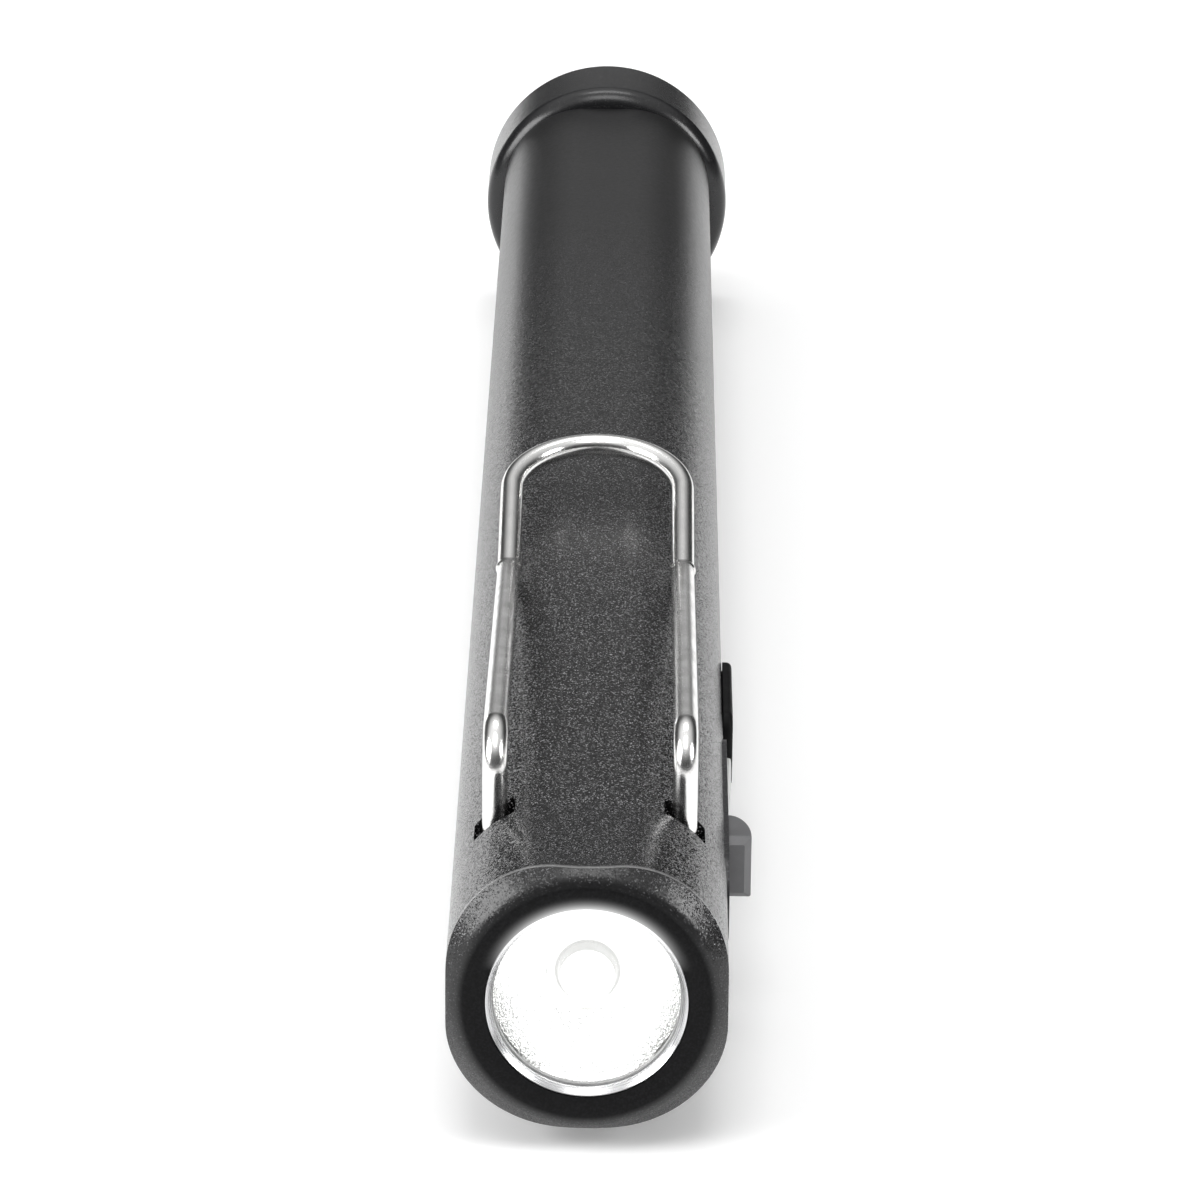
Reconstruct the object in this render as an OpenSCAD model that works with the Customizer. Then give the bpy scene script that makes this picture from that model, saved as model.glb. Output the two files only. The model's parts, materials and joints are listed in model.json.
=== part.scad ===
// Penlight with a wire pocket clip, a side switch, a covered charging port and a flared screw tail.
// The axis lies along Y: the light shines along -Y, the clip is on +Z and the switch is on +X.
// The origin is the centre of the tail's flat end. Places along the body are given as a distance
// behind the front face.

/* [Body] */
// Overall length, front face to tail face
length = 141.4; // [134:0.2:152]
// Width of the body across its flats
body_w = 14; // [13.6:0.1:15]
// Width of each flat between the round corners
flat_w = 2.8; // [1.6:0.1:4]
// Wall of the barrel at its flats
wall_t = 1.4; // [1.3:0.05:1.5]

/* [Head] */
// Front face to the seam behind the head
head_len = 9.1; // [8.6:0.1:10.4]
// How far the flat front ring stays inside the body's flats
face_inset = 0.58; // [0.3:0.02:0.8]
// Width of the flat front ring
face_w = 1.35; // [1.2:0.05:1.5]
// Length of the spigot that enters the barrel
spigot_len = 3.4; // [3:0.1:4]
// Wall of the spigot round the heat sink
spigot_wall = 0.95; // [0.85:0.05:1.2]

/* [Optics] */
// Thickness of the lens ring
ring_t = 0.75; // [0.6:0.05:1]
// Radial width of the lens ring
ring_w = 0.35; // [0.25:0.05:0.5]
// Thickness of the lens gasket
gasket_t = 0.3; // [0.2:0.05:0.5]
// Thickness of the front window
lens_t = 0.8; // [0.6:0.05:1]
// Depth of the reflector
reflector_h = 2.15; // [1.8:0.05:2.5]
// Width of the reflector's lip, outside its bright mouth
reflector_lip = 0.42; // [0.38:0.02:0.6]
// Gap between the reflector and the emitter's dome
dome_gap = 0.5; // [0.3:0.05:0.6]
// Thickness of the reflector's rim
reflector_rim_t = 0.7; // [0.5:0.1:0.9]
// Side of the square emitter package
emitter_w = 3.45; // [3:0.05:3.8]
// Height of the emitter package, and of the spacer round it
emitter_t = 0.8; // [0.6:0.05:1]
// Diameter of the emitter's clear dome
dome_d = 2.7; // [2.2:0.1:2.9]
// Thickness of the emitter's board
led_board_t = 1; // [0.8:0.1:1.2]
// Depth of the hollow in the heat sink's back
sink_hollow = 4; // [2:0.5:4.5]
// Wall round that hollow
sink_wall = 0.8; // [0.6:0.1:1]
// Diameter of an insulated lead
lead_d = 0.9; // [0.7:0.1:1]
// Distance between the two leads
lead_span = 4.4; // [3.6:0.2:4.8]
// Length of lead that lies on the control board
lead_tail = 1.8; // [1:0.2:2]

/* [Clip] */
// Diameter of the clip wire
wire_d = 1.25; // [1:0.05:1.4]
// Distance of the legs inside the body's sides
clip_inset = 2.2; // [2:0.1:2.5]
// Distance of the legs behind the seam
clip_setback = 1.3; // [1.1:0.05:1.6]
// Height of the front bend above the body
clip_rise = 3.1; // [2.6:0.1:4.2]
// Distance from the legs to the pinch bend
clip_run = 33.3; // [28:0.1:40]
// Gap between the wire and the body at the pinch bend
pinch_gap = 0.25; // [0.2:0.05:0.6]
// Straight length from the pinch bend to the loop
loop_len = 8.4; // [6:0.1:12]
// Angle at which the loop lifts off the body
loop_flare = 12.6; // [6:0.1:18]
// Radius of the front bends, to the wire's centre
bend_r = 1.9; // [1.4:0.1:2]
// Radius of the pinch bends, to the wire's centre
kink_r = 2; // [1.2:0.1:4]
// Length of the inward foot that the clip pivots on
foot_len = 1.3; // [1.1:0.1:1.5]

/* [Switch] */
// Distance of the switch plate behind the seam
plate_setback = 2.5; // [2:0.1:3.6]
// Length of the switch plate
plate_len = 20; // [19.6:0.1:21]
// Height of the switch plate
plate_h = 4.6; // [4.4:0.1:5]
// Thickness of the switch plate
plate_t = 0.5; // [0.4:0.05:0.6]
// How far the plate stands out of the body
plate_proud = 0.15; // [0.05:0.05:0.25]
// Distance of the button's front wall behind the plate's front end
button_setback = 5.8; // [5:0.1:6.6]
// Length of the button
button_len = 3.25; // [3:0.05:4]
// Length of the button's flat top
button_flat = 0.5; // [0.4:0.05:1]
// Height of the button
button_h = 3.4; // [2.8:0.1:3.6]
// How far the button stands out of the body
button_proud = 1.35; // [1:0.05:1.6]
// Chamfer along the button's two long edges
button_chamfer = 0.35; // [0.2:0.05:0.5]
// Height of the button's rear wall above the plate
button_heel = 0.4; // [0.3:0.05:0.5]
// Travel of the button
button_travel = 0.35; // [0.2:0.05:0.4]
// Thickness of the button's hidden flange
flange_t = 0.5; // [0.4:0.05:0.6]
// Width of that flange round the button
flange_w = 0.4; // [0.3:0.05:0.5]
// Length of the switch housing
tact_w = 4.8; // [4:0.1:5]
// Depth of the switch housing
tact_depth = 2.6; // [2.4:0.1:3]
// Diameter of the plunger
plunger_d = 1.6; // [1.2:0.1:2]
// Diameter of the plunger's collar
collar_d = 2.2; // [2:0.1:2.3]
// Thickness of the plunger's collar
collar_t = 0.3; // [0.2:0.05:0.4]
// Rise of the snap dome
snap_rise = 0.35; // [0.25:0.05:0.45]
// Thickness of the snap dome
snap_t = 0.1; // [0.08:0.01:0.15]

/* [Charging] */
// Distance of the indicator's centre in front of the plate's rear end
indicator_inset = 2.8; // [2.4:0.1:3.4]
// Diameter of the indicator's lens
indicator_d = 3; // [2.6:0.1:3.2]
// Height of the lens above the plate at its back
indicator_proud = 0.3; // [0.25:0.05:0.5]
// Height of the lens above the plate at its front
indicator_low = 0.1; // [0.05:0.05:0.2]
// Diameter of the indicator's light pipe
pipe_d = 2; // [1.6:0.1:2.2]
// Length of the indicator diode along the body
diode_w = 1.6; // [1.2:0.1:2]
// Gap between the switch plate and the port cover
cover_setback = 1.7; // [1:0.1:3]
// Width of the charging socket
usb_w = 7.5; // [7.2:0.1:7.8]
// Height of the charging socket
usb_h = 2.7; // [2.5:0.1:2.9]
// Depth of the charging socket
usb_depth = 5; // [4.5:0.1:5.5]
// Thickness of the socket's shell
usb_wall = 0.3; // [0.2:0.05:0.35]
// Chamfer on the socket's two lower corners
usb_chamfer = 0.8; // [0.5:0.1:1]
// Distance of the socket's mouth below the body's side
usb_inset = 1; // [0.95:0.05:1.2]
// Width of the contact tongue
tongue_w = 3.8; // [3.4:0.1:4.2]
// Thickness of the contact tongue
tongue_t = 0.65; // [0.5:0.05:0.8]
// Length of the contact tongue
tongue_len = 3.6; // [3:0.1:4]
// Width of the cover's lip at the two ends of the port
cover_end_lip = 0.65; // [0.5:0.05:0.8]
// Width of the cover's lip above and below the port
cover_side_lip = 0.6; // [0.5:0.05:0.8]
// How far the port cover stands out of the body
cover_proud = 0.55; // [0.5:0.05:0.7]
// Rounding of the cover's outer edges at its ends
cover_edge = 0.4; // [0.3:0.05:0.45]
// Rounding of the cover's corners
cover_corner = 0.9; // [0.5:0.1:1.2]
// Depth of the cover's plug
plug_depth = 0.8; // [0.6:0.05:0.85]
// Height of the cover's strap
strap_h = 2.4; // [2:0.1:2.6]
// Length of the strap's head
strap_len = 1.6; // [1.4:0.1:2]
// Thickness of the strap's head
strap_t = 0.5; // [0.4:0.05:0.6]
// Diameter of the strap's stem
stem_d = 1.2; // [1:0.1:1.4]
// Diameter of the bulb that holds the stem
bulb_d = 1.9; // [1.7:0.1:2.2]
// Thickness of that bulb
bulb_t = 0.6; // [0.4:0.1:0.8]
// Diameter of the bead that the cover swings on
bead_d = 0.6; // [0.5:0.05:0.7]

/* [Electronics] */
// Thickness of the control board
board_t = 0.8; // [0.6:0.1:1]
// Distance of the control board's edges inside the carrier
board_edge = 0.15; // [0.1:0.05:0.4]
// Length of board behind the cover's strap
board_tail = 0.3; // [0.2:0.05:1]
// Thickness of the carrier's front bulkhead
front_bulkhead_t = 0.8; // [0.6:0.1:1]
// Thickness of the carrier's rear bulkhead
rear_bulkhead_t = 1; // [0.8:0.1:1.4]
// Diameter of the front contact's head
contact_d = 4.4; // [4:0.2:5]
// Thickness of the front contact's head
contact_t = 0.4; // [0.3:0.05:0.6]
// Diameter of the front contact's stem
contact_stem_d = 1.8; // [1.4:0.1:2]
// Side of the driver chip
chip_w = 3; // [2.4:0.1:3.4]
// Height of the driver chip
chip_t = 0.9; // [0.7:0.1:1.2]
// Side of the inductor
coil_w = 3.6; // [3:0.1:4]
// Height of the inductor
coil_t = 1.8; // [1.4:0.1:2.2]

/* [Battery] */
// Play between the cell's wrap and the barrel
cell_play = 0.4; // [0.3:0.05:0.5]
// Thickness of the cell's wrap
wrap_t = 0.15; // [0.1:0.01:0.2]
// Diameter of the positive terminal
terminal_d = 3.8; // [3.4:0.1:4.2]
// Height of the positive terminal
terminal_t = 1.2; // [1:0.1:1.5]
// Thickness of the insulating washer
washer_t = 0.3; // [0.2:0.05:0.5]

/* [Tail] */
// How far the tail flange stands out of the body's flats
tail_flare = 1.2; // [1:0.05:2]
// Length of the tail flange
tail_len = 7; // [6:0.1:8]
// Rounding of the flange's rear edge
tail_edge = 0.7; // [0.4:0.05:1]
// Rounding of the flange's front edge
tail_front_edge = 1.2; // [1:0.05:1.2]
// Wall of the tail's spigot
tail_wall = 1.52; // [1.3:0.02:1.7]
// Depth of that bore inside the flange
tail_pocket = 2; // [1:0.1:3]
// Pitch of the tail's screw thread
thread_pitch = 1; // [0.8:0.05:1.2]
// Number of turns that unscrew the tail
thread_turns = 6; // [4:1:6]
// Length of the tail's spigot past its thread
thread_lead = 1.2; // [1:0.1:1.6]
// Cross-section of the seal ring
seal_d = 0.7; // [0.6:0.05:0.75]
// Distance of the seal ring in front of the flange
seal_setback = 1.3; // [1:0.1:2]
// Thickness of the tail's contact disc
tail_contact_t = 0.5; // [0.4:0.05:0.8]
// Length of the battery spring
spring_len = 11.8; // [10:0.1:13]
// Gap between the battery spring and the tail's bore
spring_gap = 0.6; // [0.4:0.05:0.9]
// Diameter of the spring wire
spring_wire_d = 0.8; // [0.6:0.05:0.9]
// Turns of the battery spring
spring_turns = 7; // [5:1:7]

/* [Hidden] */
// Smoothness of round faces
$fn = 64;
// Overrun of every cut past the face it leaves
over = 1;
// How far joined shapes run into one another
lap = 0.2;
// Radial clearance of pieces pressed or glued together
fit_gap = 0.05;
// Clearance of pieces that slide or turn in one another
run_gap = 0.08;
// Clearance round the clip's feet
slot_gap = 0.12;
// Clearance round the button, the socket and the lens stems
window_gap = 0.1;
// Clearance between loose inner pieces
loose_gap = 0.2;
// Least wall between the clip's pocket and the heat sink
pocket_wall = 0.12;
// How far a straight wire runs into a bend
bend_lap = 0.1;
// How much fuller a bend is than the wire
bend_swell = 0.01;
// Share of the bead's diameter by which its centre lies behind the cover
bead_back_share = 1 / 6;

side_x = body_w / 2;
core_half = flat_w / 2;
corner_r = side_x - core_half;
bore_r = side_x - wall_t;
turned_r = side_x * sqrt(2);
face_r = side_x - face_inset;
window_r = face_r - face_w;
optic_r = window_r - fit_gap;
spigot_r = bore_r - fit_gap;
sink_bore_r = spigot_r - spigot_wall;

// Height of the body's surface at a distance x from the middle plane
function surface_z(x) =
    x <= core_half ? side_x : core_half + sqrt(corner_r * corner_r - (x - core_half) * (x - core_half));

// Stack of the optics behind the front face
mouth_r = window_r - reflector_lip;
hole_r = dome_d / 2 + dome_gap;
gasket_at = ring_t;
lens_at = gasket_at + gasket_t;
reflector_at = lens_at + lens_t;
emitter_at = reflector_at + reflector_h;
led_board_at = emitter_at + emitter_t;
sink_at = led_board_at + led_board_t;
spigot_end = head_len + spigot_len;

// Places of the pieces on the switch side
plate_from = head_len + plate_setback;
plate_end = plate_from + plate_len;
button_from = plate_from + button_setback;
indicator_at = plate_end - indicator_inset;
slot_w = usb_w + 2 * loose_gap;
slot_h = usb_h + 2 * loose_gap;
cover_len = slot_w + 2 * cover_end_lip;
cover_h = slot_h + 2 * cover_side_lip;
cover_from = plate_end + cover_setback;
cover_end = cover_from + cover_len;
port_at = cover_from + cover_len / 2;
hinge_at = cover_end + bead_d * bead_back_share;
strap_from = hinge_at + bead_d / 2 + run_gap;
strap_mid = strap_from + strap_len / 2;

// Stack of the electronics behind the head
carrier_at = spigot_end + loose_gap;
board_at = carrier_at + front_bulkhead_t;
board_end = strap_mid + bulb_d / 2 + board_tail;
carrier_end = board_end + rear_bulkhead_t;
board_top = -usb_h / 2;
board_under = board_top - board_t;
carrier_r = bore_r - loose_gap;
board_half = sqrt(carrier_r * carrier_r - board_under * board_under) - board_edge;
battery_at = carrier_end + contact_t + fit_gap;
lead_z = board_top + lead_d / 2;

// Stack of the tail in front of the tail face
flange_at = length - tail_len;
barrel_end = flange_at - fit_gap;
tail_spigot_len = thread_pitch * thread_turns + thread_lead;
tail_spigot_at = flange_at - tail_spigot_len;
tail_pocket_end = flange_at + tail_pocket;
tail_contact_at = tail_pocket_end - tail_contact_t;
battery_end = tail_contact_at - spring_len;
tail_r = side_x + tail_flare;
tail_spigot_r = bore_r - run_gap;
tail_bore_r = tail_spigot_r - tail_wall;
spring_r = tail_bore_r - spring_gap - spring_wire_d / 2;
cell_r = bore_r - cell_play - wrap_t - fit_gap;
seal_room = seal_d + 2 * run_gap;
seal_mean_r = bore_r - run_gap - seal_d / 2;
seal_floor_r = seal_mean_r - seal_d / 2 - run_gap;
seal_at = flange_at - seal_setback;

// Clip
wire_r = wire_d / 2;
leg_x = side_x - clip_inset;
leg_at = head_len + clip_setback;
foot_x = leg_x - foot_len;
pocket_x = foot_x - slot_gap;
pocket_r = sink_bore_r + pocket_wall;
pocket_z = sqrt(pocket_r * pocket_r - pocket_x * pocket_x);
foot_z = pocket_z + slot_gap + wire_r;
crest_z = side_x + clip_rise;
pinch_z = surface_z(leg_x) + wire_r + pinch_gap;
run_angle = atan2(pinch_z - crest_z, clip_run);
bend_turn = 90 - run_angle;
kink_turn = loop_flare - run_angle;
bend_cut = bend_r * tan(bend_turn / 2);
kink_cut = kink_r * tan(kink_turn / 2);

// Switch
plate_out = side_x + plate_proud;
plate_in = plate_out - plate_t;
button_out = side_x + button_proud;
button_end = button_from + button_len;
button_mid = button_from + button_len / 2;
dome_len = button_len - button_flat;
dome_drop = button_out - plate_out - button_heel;
dome_r = (pow(dome_len, 2) + pow(dome_drop, 2)) / (2 * dome_drop);
flange_out = plate_in - run_gap;
flange_in = flange_out - flange_t;
tact_face = bore_r - 2 * loose_gap;
tact_back = tact_face - tact_depth;
tact_top = -board_top;
chamber_r = collar_d / 2 + run_gap;
chamber_depth = collar_t + button_travel + snap_rise + 2 * run_gap;
chamber_out = tact_face - collar_t - button_travel;
chamber_in = chamber_out - chamber_depth;
collar_out = chamber_out - run_gap;

// Charging
lens_out = plate_out + indicator_proud;
lens_slope = atan2(indicator_proud - indicator_low, indicator_d);
diode_face = bore_r - 3 * loose_gap;
diode_depth = diode_w;
pipe_in = diode_face + run_gap;
usb_face = side_x - usb_inset;
usb_back = usb_face - usb_depth;
cover_under = side_x + run_gap / 2;
cover_out = side_x + cover_proud;
plug_w = slot_w - 2 * window_gap;
plug_h = slot_h - 2 * window_gap;
hinge_x = side_x + run_gap;
strap_in = side_x - strap_t;
bulb_out = bore_r - window_gap;

// Sides of the wound spring's wire and rings in each of its turns
spring_sides = 6;
spring_rings = 8;

// Placing helpers

// Stands children on a plane at a distance behind the front face, running aft along the axis
module aft(at) {
    translate([0, at - length, 0]) rotate([-90, 0, 0]) children();
}

// Faces children outwards along +X: their own x runs aft, y up and z outwards
module facing_side(x, at) {
    translate([x, at - length, 0]) rotate([90, 0, 90]) children();
}

// Box between two places on each axis
module block(x0, x1, at0, at1, z0, z1) {
    translate([x0, at0 - length, z0]) cube([x1 - x0, at1 - at0, z1 - z0]);
}

// Ring along the axis
module tube(outer_r, inner_r, h) {
    difference() {
        cylinder(r = outer_r, h = h);
        translate([0, 0, -over]) cylinder(r = inner_r, h = h + 2 * over);
    }
}

// Rectangle with round corners, about its centre
module round_rect(w, h, r) {
    square([w, h - 2 * r], center = true);
    square([w - 2 * r, h], center = true);
    for (x = [-1, 1], y = [-1, 1])
        translate([x * (w / 2 - r), y * (h / 2 - r)]) circle(r = r);
}

// Cross-section of the body
module body_section() {
    round_rect(body_w, body_w, corner_r);
}

// Pocket for both of the clip's legs and feet, from a place behind the front face
module clip_pockets(at) {
    pocket_end = leg_at + wire_r + slot_gap;
    outer_x = leg_x + wire_r + slot_gap;
    for (side = [0, 1]) mirror([side, 0, 0]) {
        block(leg_x - wire_r - slot_gap, outer_x, at, pocket_end, pocket_z, body_w);
        block(pocket_x, outer_x, at, pocket_end, pocket_z, foot_z + wire_r + slot_gap);
    }
}

// Head and optics

module head_shell() {
    color("#202022") difference() {
        union() {
            intersection() {
                aft(0) linear_extrude(head_len) body_section();
                aft(0) rotate_extrude() polygon([
                    [0, 0], [face_r, 0], [turned_r, turned_r - face_r], [turned_r, head_len], [0, head_len]
                ]);
            }
            aft(head_len - lap) cylinder(r = spigot_r, h = spigot_len + lap);
        }
        aft(-over) cylinder(r = window_r, h = sink_at + over);
        aft(-over) cylinder(r = sink_bore_r, h = spigot_end + 2 * over);
        clip_pockets(head_len);
    }
}

module lens_ring() {
    inner_r = window_r - ring_w;
    color("#9a9a9c") aft(0) rotate_extrude() polygon([
        [optic_r, fit_gap], [inner_r, ring_t / 2], [inner_r, ring_t], [optic_r, ring_t]
    ]);
}

module lens_gasket() {
    color("#0c0c0d") aft(gasket_at) tube(optic_r, mouth_r, gasket_t);
}

module lens() {
    color("#e8f0f4", 0.35) aft(lens_at) cylinder(r = optic_r, h = lens_t);
}

module reflector() {
    foot_r = (hole_r + optic_r) / 2 - reflector_rim_t / 2;
    steps = 12;
    four_focal = (mouth_r * mouth_r - hole_r * hole_r) / reflector_h;
    bowl = [
        for (i = [0 : steps])
            let (r = mouth_r + (hole_r - mouth_r) * i / steps)
            [r, reflector_h - (r * r - hole_r * hole_r) / four_focal]
    ];
    back = [[foot_r, reflector_h], [optic_r, reflector_rim_t], [optic_r, 0]];
    color("#e6e6e6") aft(reflector_at) rotate_extrude() polygon(concat(bowl, back));
}

module led_spacer() {
    hole_half = emitter_w / 2 + window_gap;
    color("#f2f2ee") difference() {
        aft(emitter_at) cylinder(r = optic_r, h = emitter_t);
        block(-hole_half, hole_half, emitter_at - over, led_board_at + over, -hole_half, hole_half);
    }
}

module led_emitter() {
    half = emitter_w / 2;
    color("#f6e9b0") union() {
        block(-half, half, emitter_at, led_board_at, -half, half);
        intersection() {
            aft(emitter_at) sphere(d = dome_d);
            block(-half, half, emitter_at - dome_d, emitter_at + lap, -half, half);
        }
    }
}

module led_board() {
    color("#d8d8d6") aft(led_board_at) cylinder(r = optic_r, h = led_board_t);
}

// The two bores for the leads
module lead_bores(from, to, gap) {
    for (x = [-1, 1] * lead_span / 2)
        translate([x, 0, lead_z]) aft(from) cylinder(d = lead_d + 2 * gap, h = to - from);
}

module heat_sink() {
    outer_r = sink_bore_r - fit_gap;
    color("#b9bbbd") difference() {
        aft(sink_at) cylinder(r = outer_r, h = spigot_end - sink_at);
        aft(spigot_end - sink_hollow) cylinder(r = outer_r - sink_wall, h = sink_hollow + over);
        lead_bores(sink_at - over, spigot_end + over, run_gap);
    }
}

module led_leads() {
    color("#b03028") lead_bores(sink_at, board_at + lead_tail, 0);
}

// Barrel and clip

module barrel() {
    color("#202022") difference() {
        aft(head_len) linear_extrude(barrel_end - head_len) body_section();
        aft(head_len - over) cylinder(r = bore_r, h = length);
        clip_pockets(head_len - over);
        plate_recess();
        button_window();
        facing_side(0, indicator_at) cylinder(d = pipe_d + 2 * window_gap, h = body_w);
        facing_side(0, port_at) linear_extrude(body_w) round_rect(slot_w, slot_h, cover_corner);
        strap_pocket();
    }
}

module plate_recess() {
    facing_side(plate_in, (plate_from + plate_end) / 2) linear_extrude(over)
        round_rect(plate_len + 2 * fit_gap, plate_h + 2 * fit_gap, plate_h / 2);
}

module button_window() {
    reach = flange_w + window_gap;
    half = button_h / 2 + reach;
    block(0, body_w, button_from - reach, button_end + reach, -half, half);
}

module strap_pocket() {
    half = strap_h / 2 + fit_gap;
    block(strap_in, body_w, hinge_at - bead_d / 2 - run_gap, strap_from + strap_len + fit_gap, -half, half);
    facing_side(0, strap_mid) cylinder(d = stem_d + 2 * fit_gap, h = body_w);
}

// Straight wire between two points of a leg's plane, where x runs aft and y up
module wire_rod(from, to) {
    run = to - from;
    translate([from[0], from[1], 0]) rotate([0, 0, atan2(run[1], run[0])]) rotate([0, 90, 0])
        cylinder(d = wire_d, h = norm(run));
}

// Bent wire about a centre, between two angles
module wire_bend(centre, r, from, to) {
    translate([centre[0], centre[1], 0]) rotate([0, 0, from]) rotate_extrude(angle = to - from)
        translate([r, 0]) circle(r = wire_r + bend_swell);
}

// One leg of the clip in its own plane, from its foot to the loop
module clip_leg() {
    run_dir = [cos(run_angle), sin(run_angle)];
    flare_dir = [cos(loop_flare), sin(loop_flare)];
    crest = [leg_at - length, crest_z];
    pinch = crest + [clip_run, pinch_z - crest_z];
    foot = [crest[0], foot_z];
    rise_end = crest - [0, bend_cut];
    run_start = crest + bend_cut * run_dir;
    run_end = pinch - kink_cut * run_dir;
    flare_start = pinch + kink_cut * flare_dir;
    wire_rod(foot, rise_end + [0, bend_lap]);
    wire_bend(rise_end + [bend_r, 0], bend_r, run_angle + 90, 180);
    wire_rod(run_start - bend_lap * run_dir, run_end + bend_lap * run_dir);
    wire_bend(run_end + kink_r * [-run_dir[1], run_dir[0]], kink_r, run_angle - 90, loop_flare - 90);
    wire_rod(flare_start - bend_lap * flare_dir, pinch + (loop_len + bend_lap) * flare_dir);
}

module clip_wire() {
    loop_at = leg_at + clip_run + loop_len * cos(loop_flare);
    loop_z = pinch_z + loop_len * sin(loop_flare);
    color("#c9cacc") union() {
        for (side = [0, 1]) mirror([side, 0, 0]) {
            translate([leg_x, 0, 0]) rotate([90, 0, 90]) clip_leg();
            translate([foot_x, leg_at - length, foot_z]) rotate([0, 90, 0]) cylinder(d = wire_d, h = foot_len);
            translate([leg_x, leg_at - length, foot_z]) sphere(d = wire_d);
        }
        translate([0, loop_at - length, loop_z]) rotate([loop_flare, 0, 0])
            wire_bend([0, 0], leg_x, 0, 180);
    }
}

// Switch

module switch_plate() {
    half = button_h / 2 + window_gap;
    color("#262628") difference() {
        facing_side(plate_in, (plate_from + plate_end) / 2) linear_extrude(plate_t)
            round_rect(plate_len, plate_h, plate_h / 2 - fit_gap);
        block(0, body_w, button_from - window_gap, button_end + window_gap, -half, half);
        facing_side(0, indicator_at) cylinder(d = pipe_d + 2 * window_gap, h = body_w);
    }
}

module switch_button() {
    half = button_h / 2;
    edge = button_out - button_chamfer;
    reach = flange_w;
    color("#6a6a6c") union() {
        intersection() {
            translate([0, -length, -half]) linear_extrude(button_h) union() {
                translate([flange_out, button_from]) square([plate_out - flange_out, button_len]);
                intersection() {
                    translate([flange_out, button_from]) square([button_out - flange_out, button_len]);
                    union() {
                        translate([flange_out, button_from]) square([button_out - flange_out, button_flat]);
                        translate([button_out - dome_r, button_from + button_flat]) circle(r = dome_r);
                    }
                }
            }
            translate([0, button_end - length, 0]) rotate([90, 0, 0]) linear_extrude(button_len) polygon([
                [0, -half], [edge, -half], [button_out, -half + button_chamfer],
                [button_out, half - button_chamfer], [edge, half], [0, half]
            ]);
        }
        block(flange_in, flange_out, button_from - reach, button_end + reach, -half - reach, half + reach);
        block(flange_in, flange_out + lap, button_from, button_end, -half, half);
    }
}

module switch_plunger() {
    color("#e8e6dc") union() {
        facing_side(collar_out - collar_t, button_mid) cylinder(d = collar_d, h = collar_t);
        facing_side(collar_out - lap, button_mid) cylinder(d = plunger_d, h = flange_in - collar_out + lap);
    }
}

module tact_switch() {
    half = tact_w / 2;
    color("#1c1c1e") difference() {
        block(tact_back, tact_face, button_mid - half, button_mid + half, board_top, tact_top);
        facing_side(chamber_in, button_mid) cylinder(r = chamber_r, h = chamber_depth);
        facing_side(chamber_in, button_mid) cylinder(d = plunger_d + 2 * run_gap, h = body_w);
    }
}

module snap_dome() {
    rim_r = chamber_r - fit_gap;
    crown_r = rim_r / 2;
    color("#cfd0d2") facing_side(chamber_in, button_mid) rotate_extrude() polygon([
        [rim_r - snap_t, 0], [rim_r, 0], [crown_r, snap_rise], [0, snap_rise],
        [0, snap_rise - snap_t], [crown_r - snap_t, snap_rise - snap_t]
    ]);
}

// Electronics

module control_board() {
    color("#1f5a34") block(-board_half, board_half, board_at, board_end, board_under, board_top);
}

module board_parts() {
    chip_mid_share = 0.5;
    coil_mid_share = 0.65;
    free_from = button_mid + tact_w / 2;
    free_to = port_at - usb_w / 2;
    chip_at = free_from + (free_to - free_from) * chip_mid_share - chip_w;
    coil_at = free_from + (free_to - free_from) * coil_mid_share;
    color("#303134") union() {
        block(-chip_w, 0, chip_at, chip_at + chip_w, board_top, board_top + chip_t);
        block(-coil_w, 0, coil_at, coil_at + coil_w, board_top, board_top + coil_t);
    }
}

module board_carrier() {
    color("#d9d4c4") difference() {
        union() {
            difference() {
                aft(carrier_at) cylinder(r = carrier_r, h = carrier_end - carrier_at);
                block(-body_w, body_w, carrier_at - over, carrier_end + over, board_under, body_w);
            }
            aft(carrier_at) cylinder(r = carrier_r, h = front_bulkhead_t);
            aft(board_end) cylinder(r = carrier_r, h = rear_bulkhead_t);
        }
        lead_bores(carrier_at - over, board_at + over, run_gap);
        aft(board_end - over) cylinder(d = contact_stem_d + 2 * fit_gap, h = rear_bulkhead_t + 2 * over);
    }
}

module indicator_lens() {
    color("#c8cac8", 0.8) union() {
        facing_side(pipe_in, indicator_at) cylinder(d = pipe_d, h = plate_out - pipe_in + indicator_low);
        difference() {
            facing_side(plate_out, indicator_at) cylinder(d = indicator_d, h = indicator_proud);
            translate([lens_out, indicator_at + indicator_d / 2 - length, 0]) rotate([0, 0, -lens_slope])
                translate([0, -body_w, -body_w / 2]) cube([over, 2 * body_w, body_w]);
        }
    }
}

module charge_led() {
    half = diode_w / 2;
    color("#e9e9df") block(diode_face - diode_depth, diode_face, indicator_at - half, indicator_at + half,
        board_top, half);
}

// Outline of the charging socket, drawn in by a margin
module usb_outline(margin) {
    w = usb_w / 2 - margin;
    h = usb_h / 2 - margin;
    polygon([
        [-w, h], [-w, -h + usb_chamfer], [-w + usb_chamfer, -h],
        [w - usb_chamfer, -h], [w, -h + usb_chamfer], [w, h]
    ]);
}

module usb_shell() {
    color("#bfc1c3") facing_side(usb_back, port_at) difference() {
        linear_extrude(usb_depth) usb_outline(0);
        translate([0, 0, usb_wall]) linear_extrude(usb_depth) usb_outline(usb_wall);
    }
}

module usb_tongue() {
    half = tongue_w / 2;
    color("#161617") block(usb_back + usb_wall, usb_back + usb_wall + tongue_len,
        port_at - half, port_at + half, -tongue_t / 2, tongue_t / 2);
}

// The cover is moulded with its strap and parts from it at a bead, so that it can swing

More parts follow.
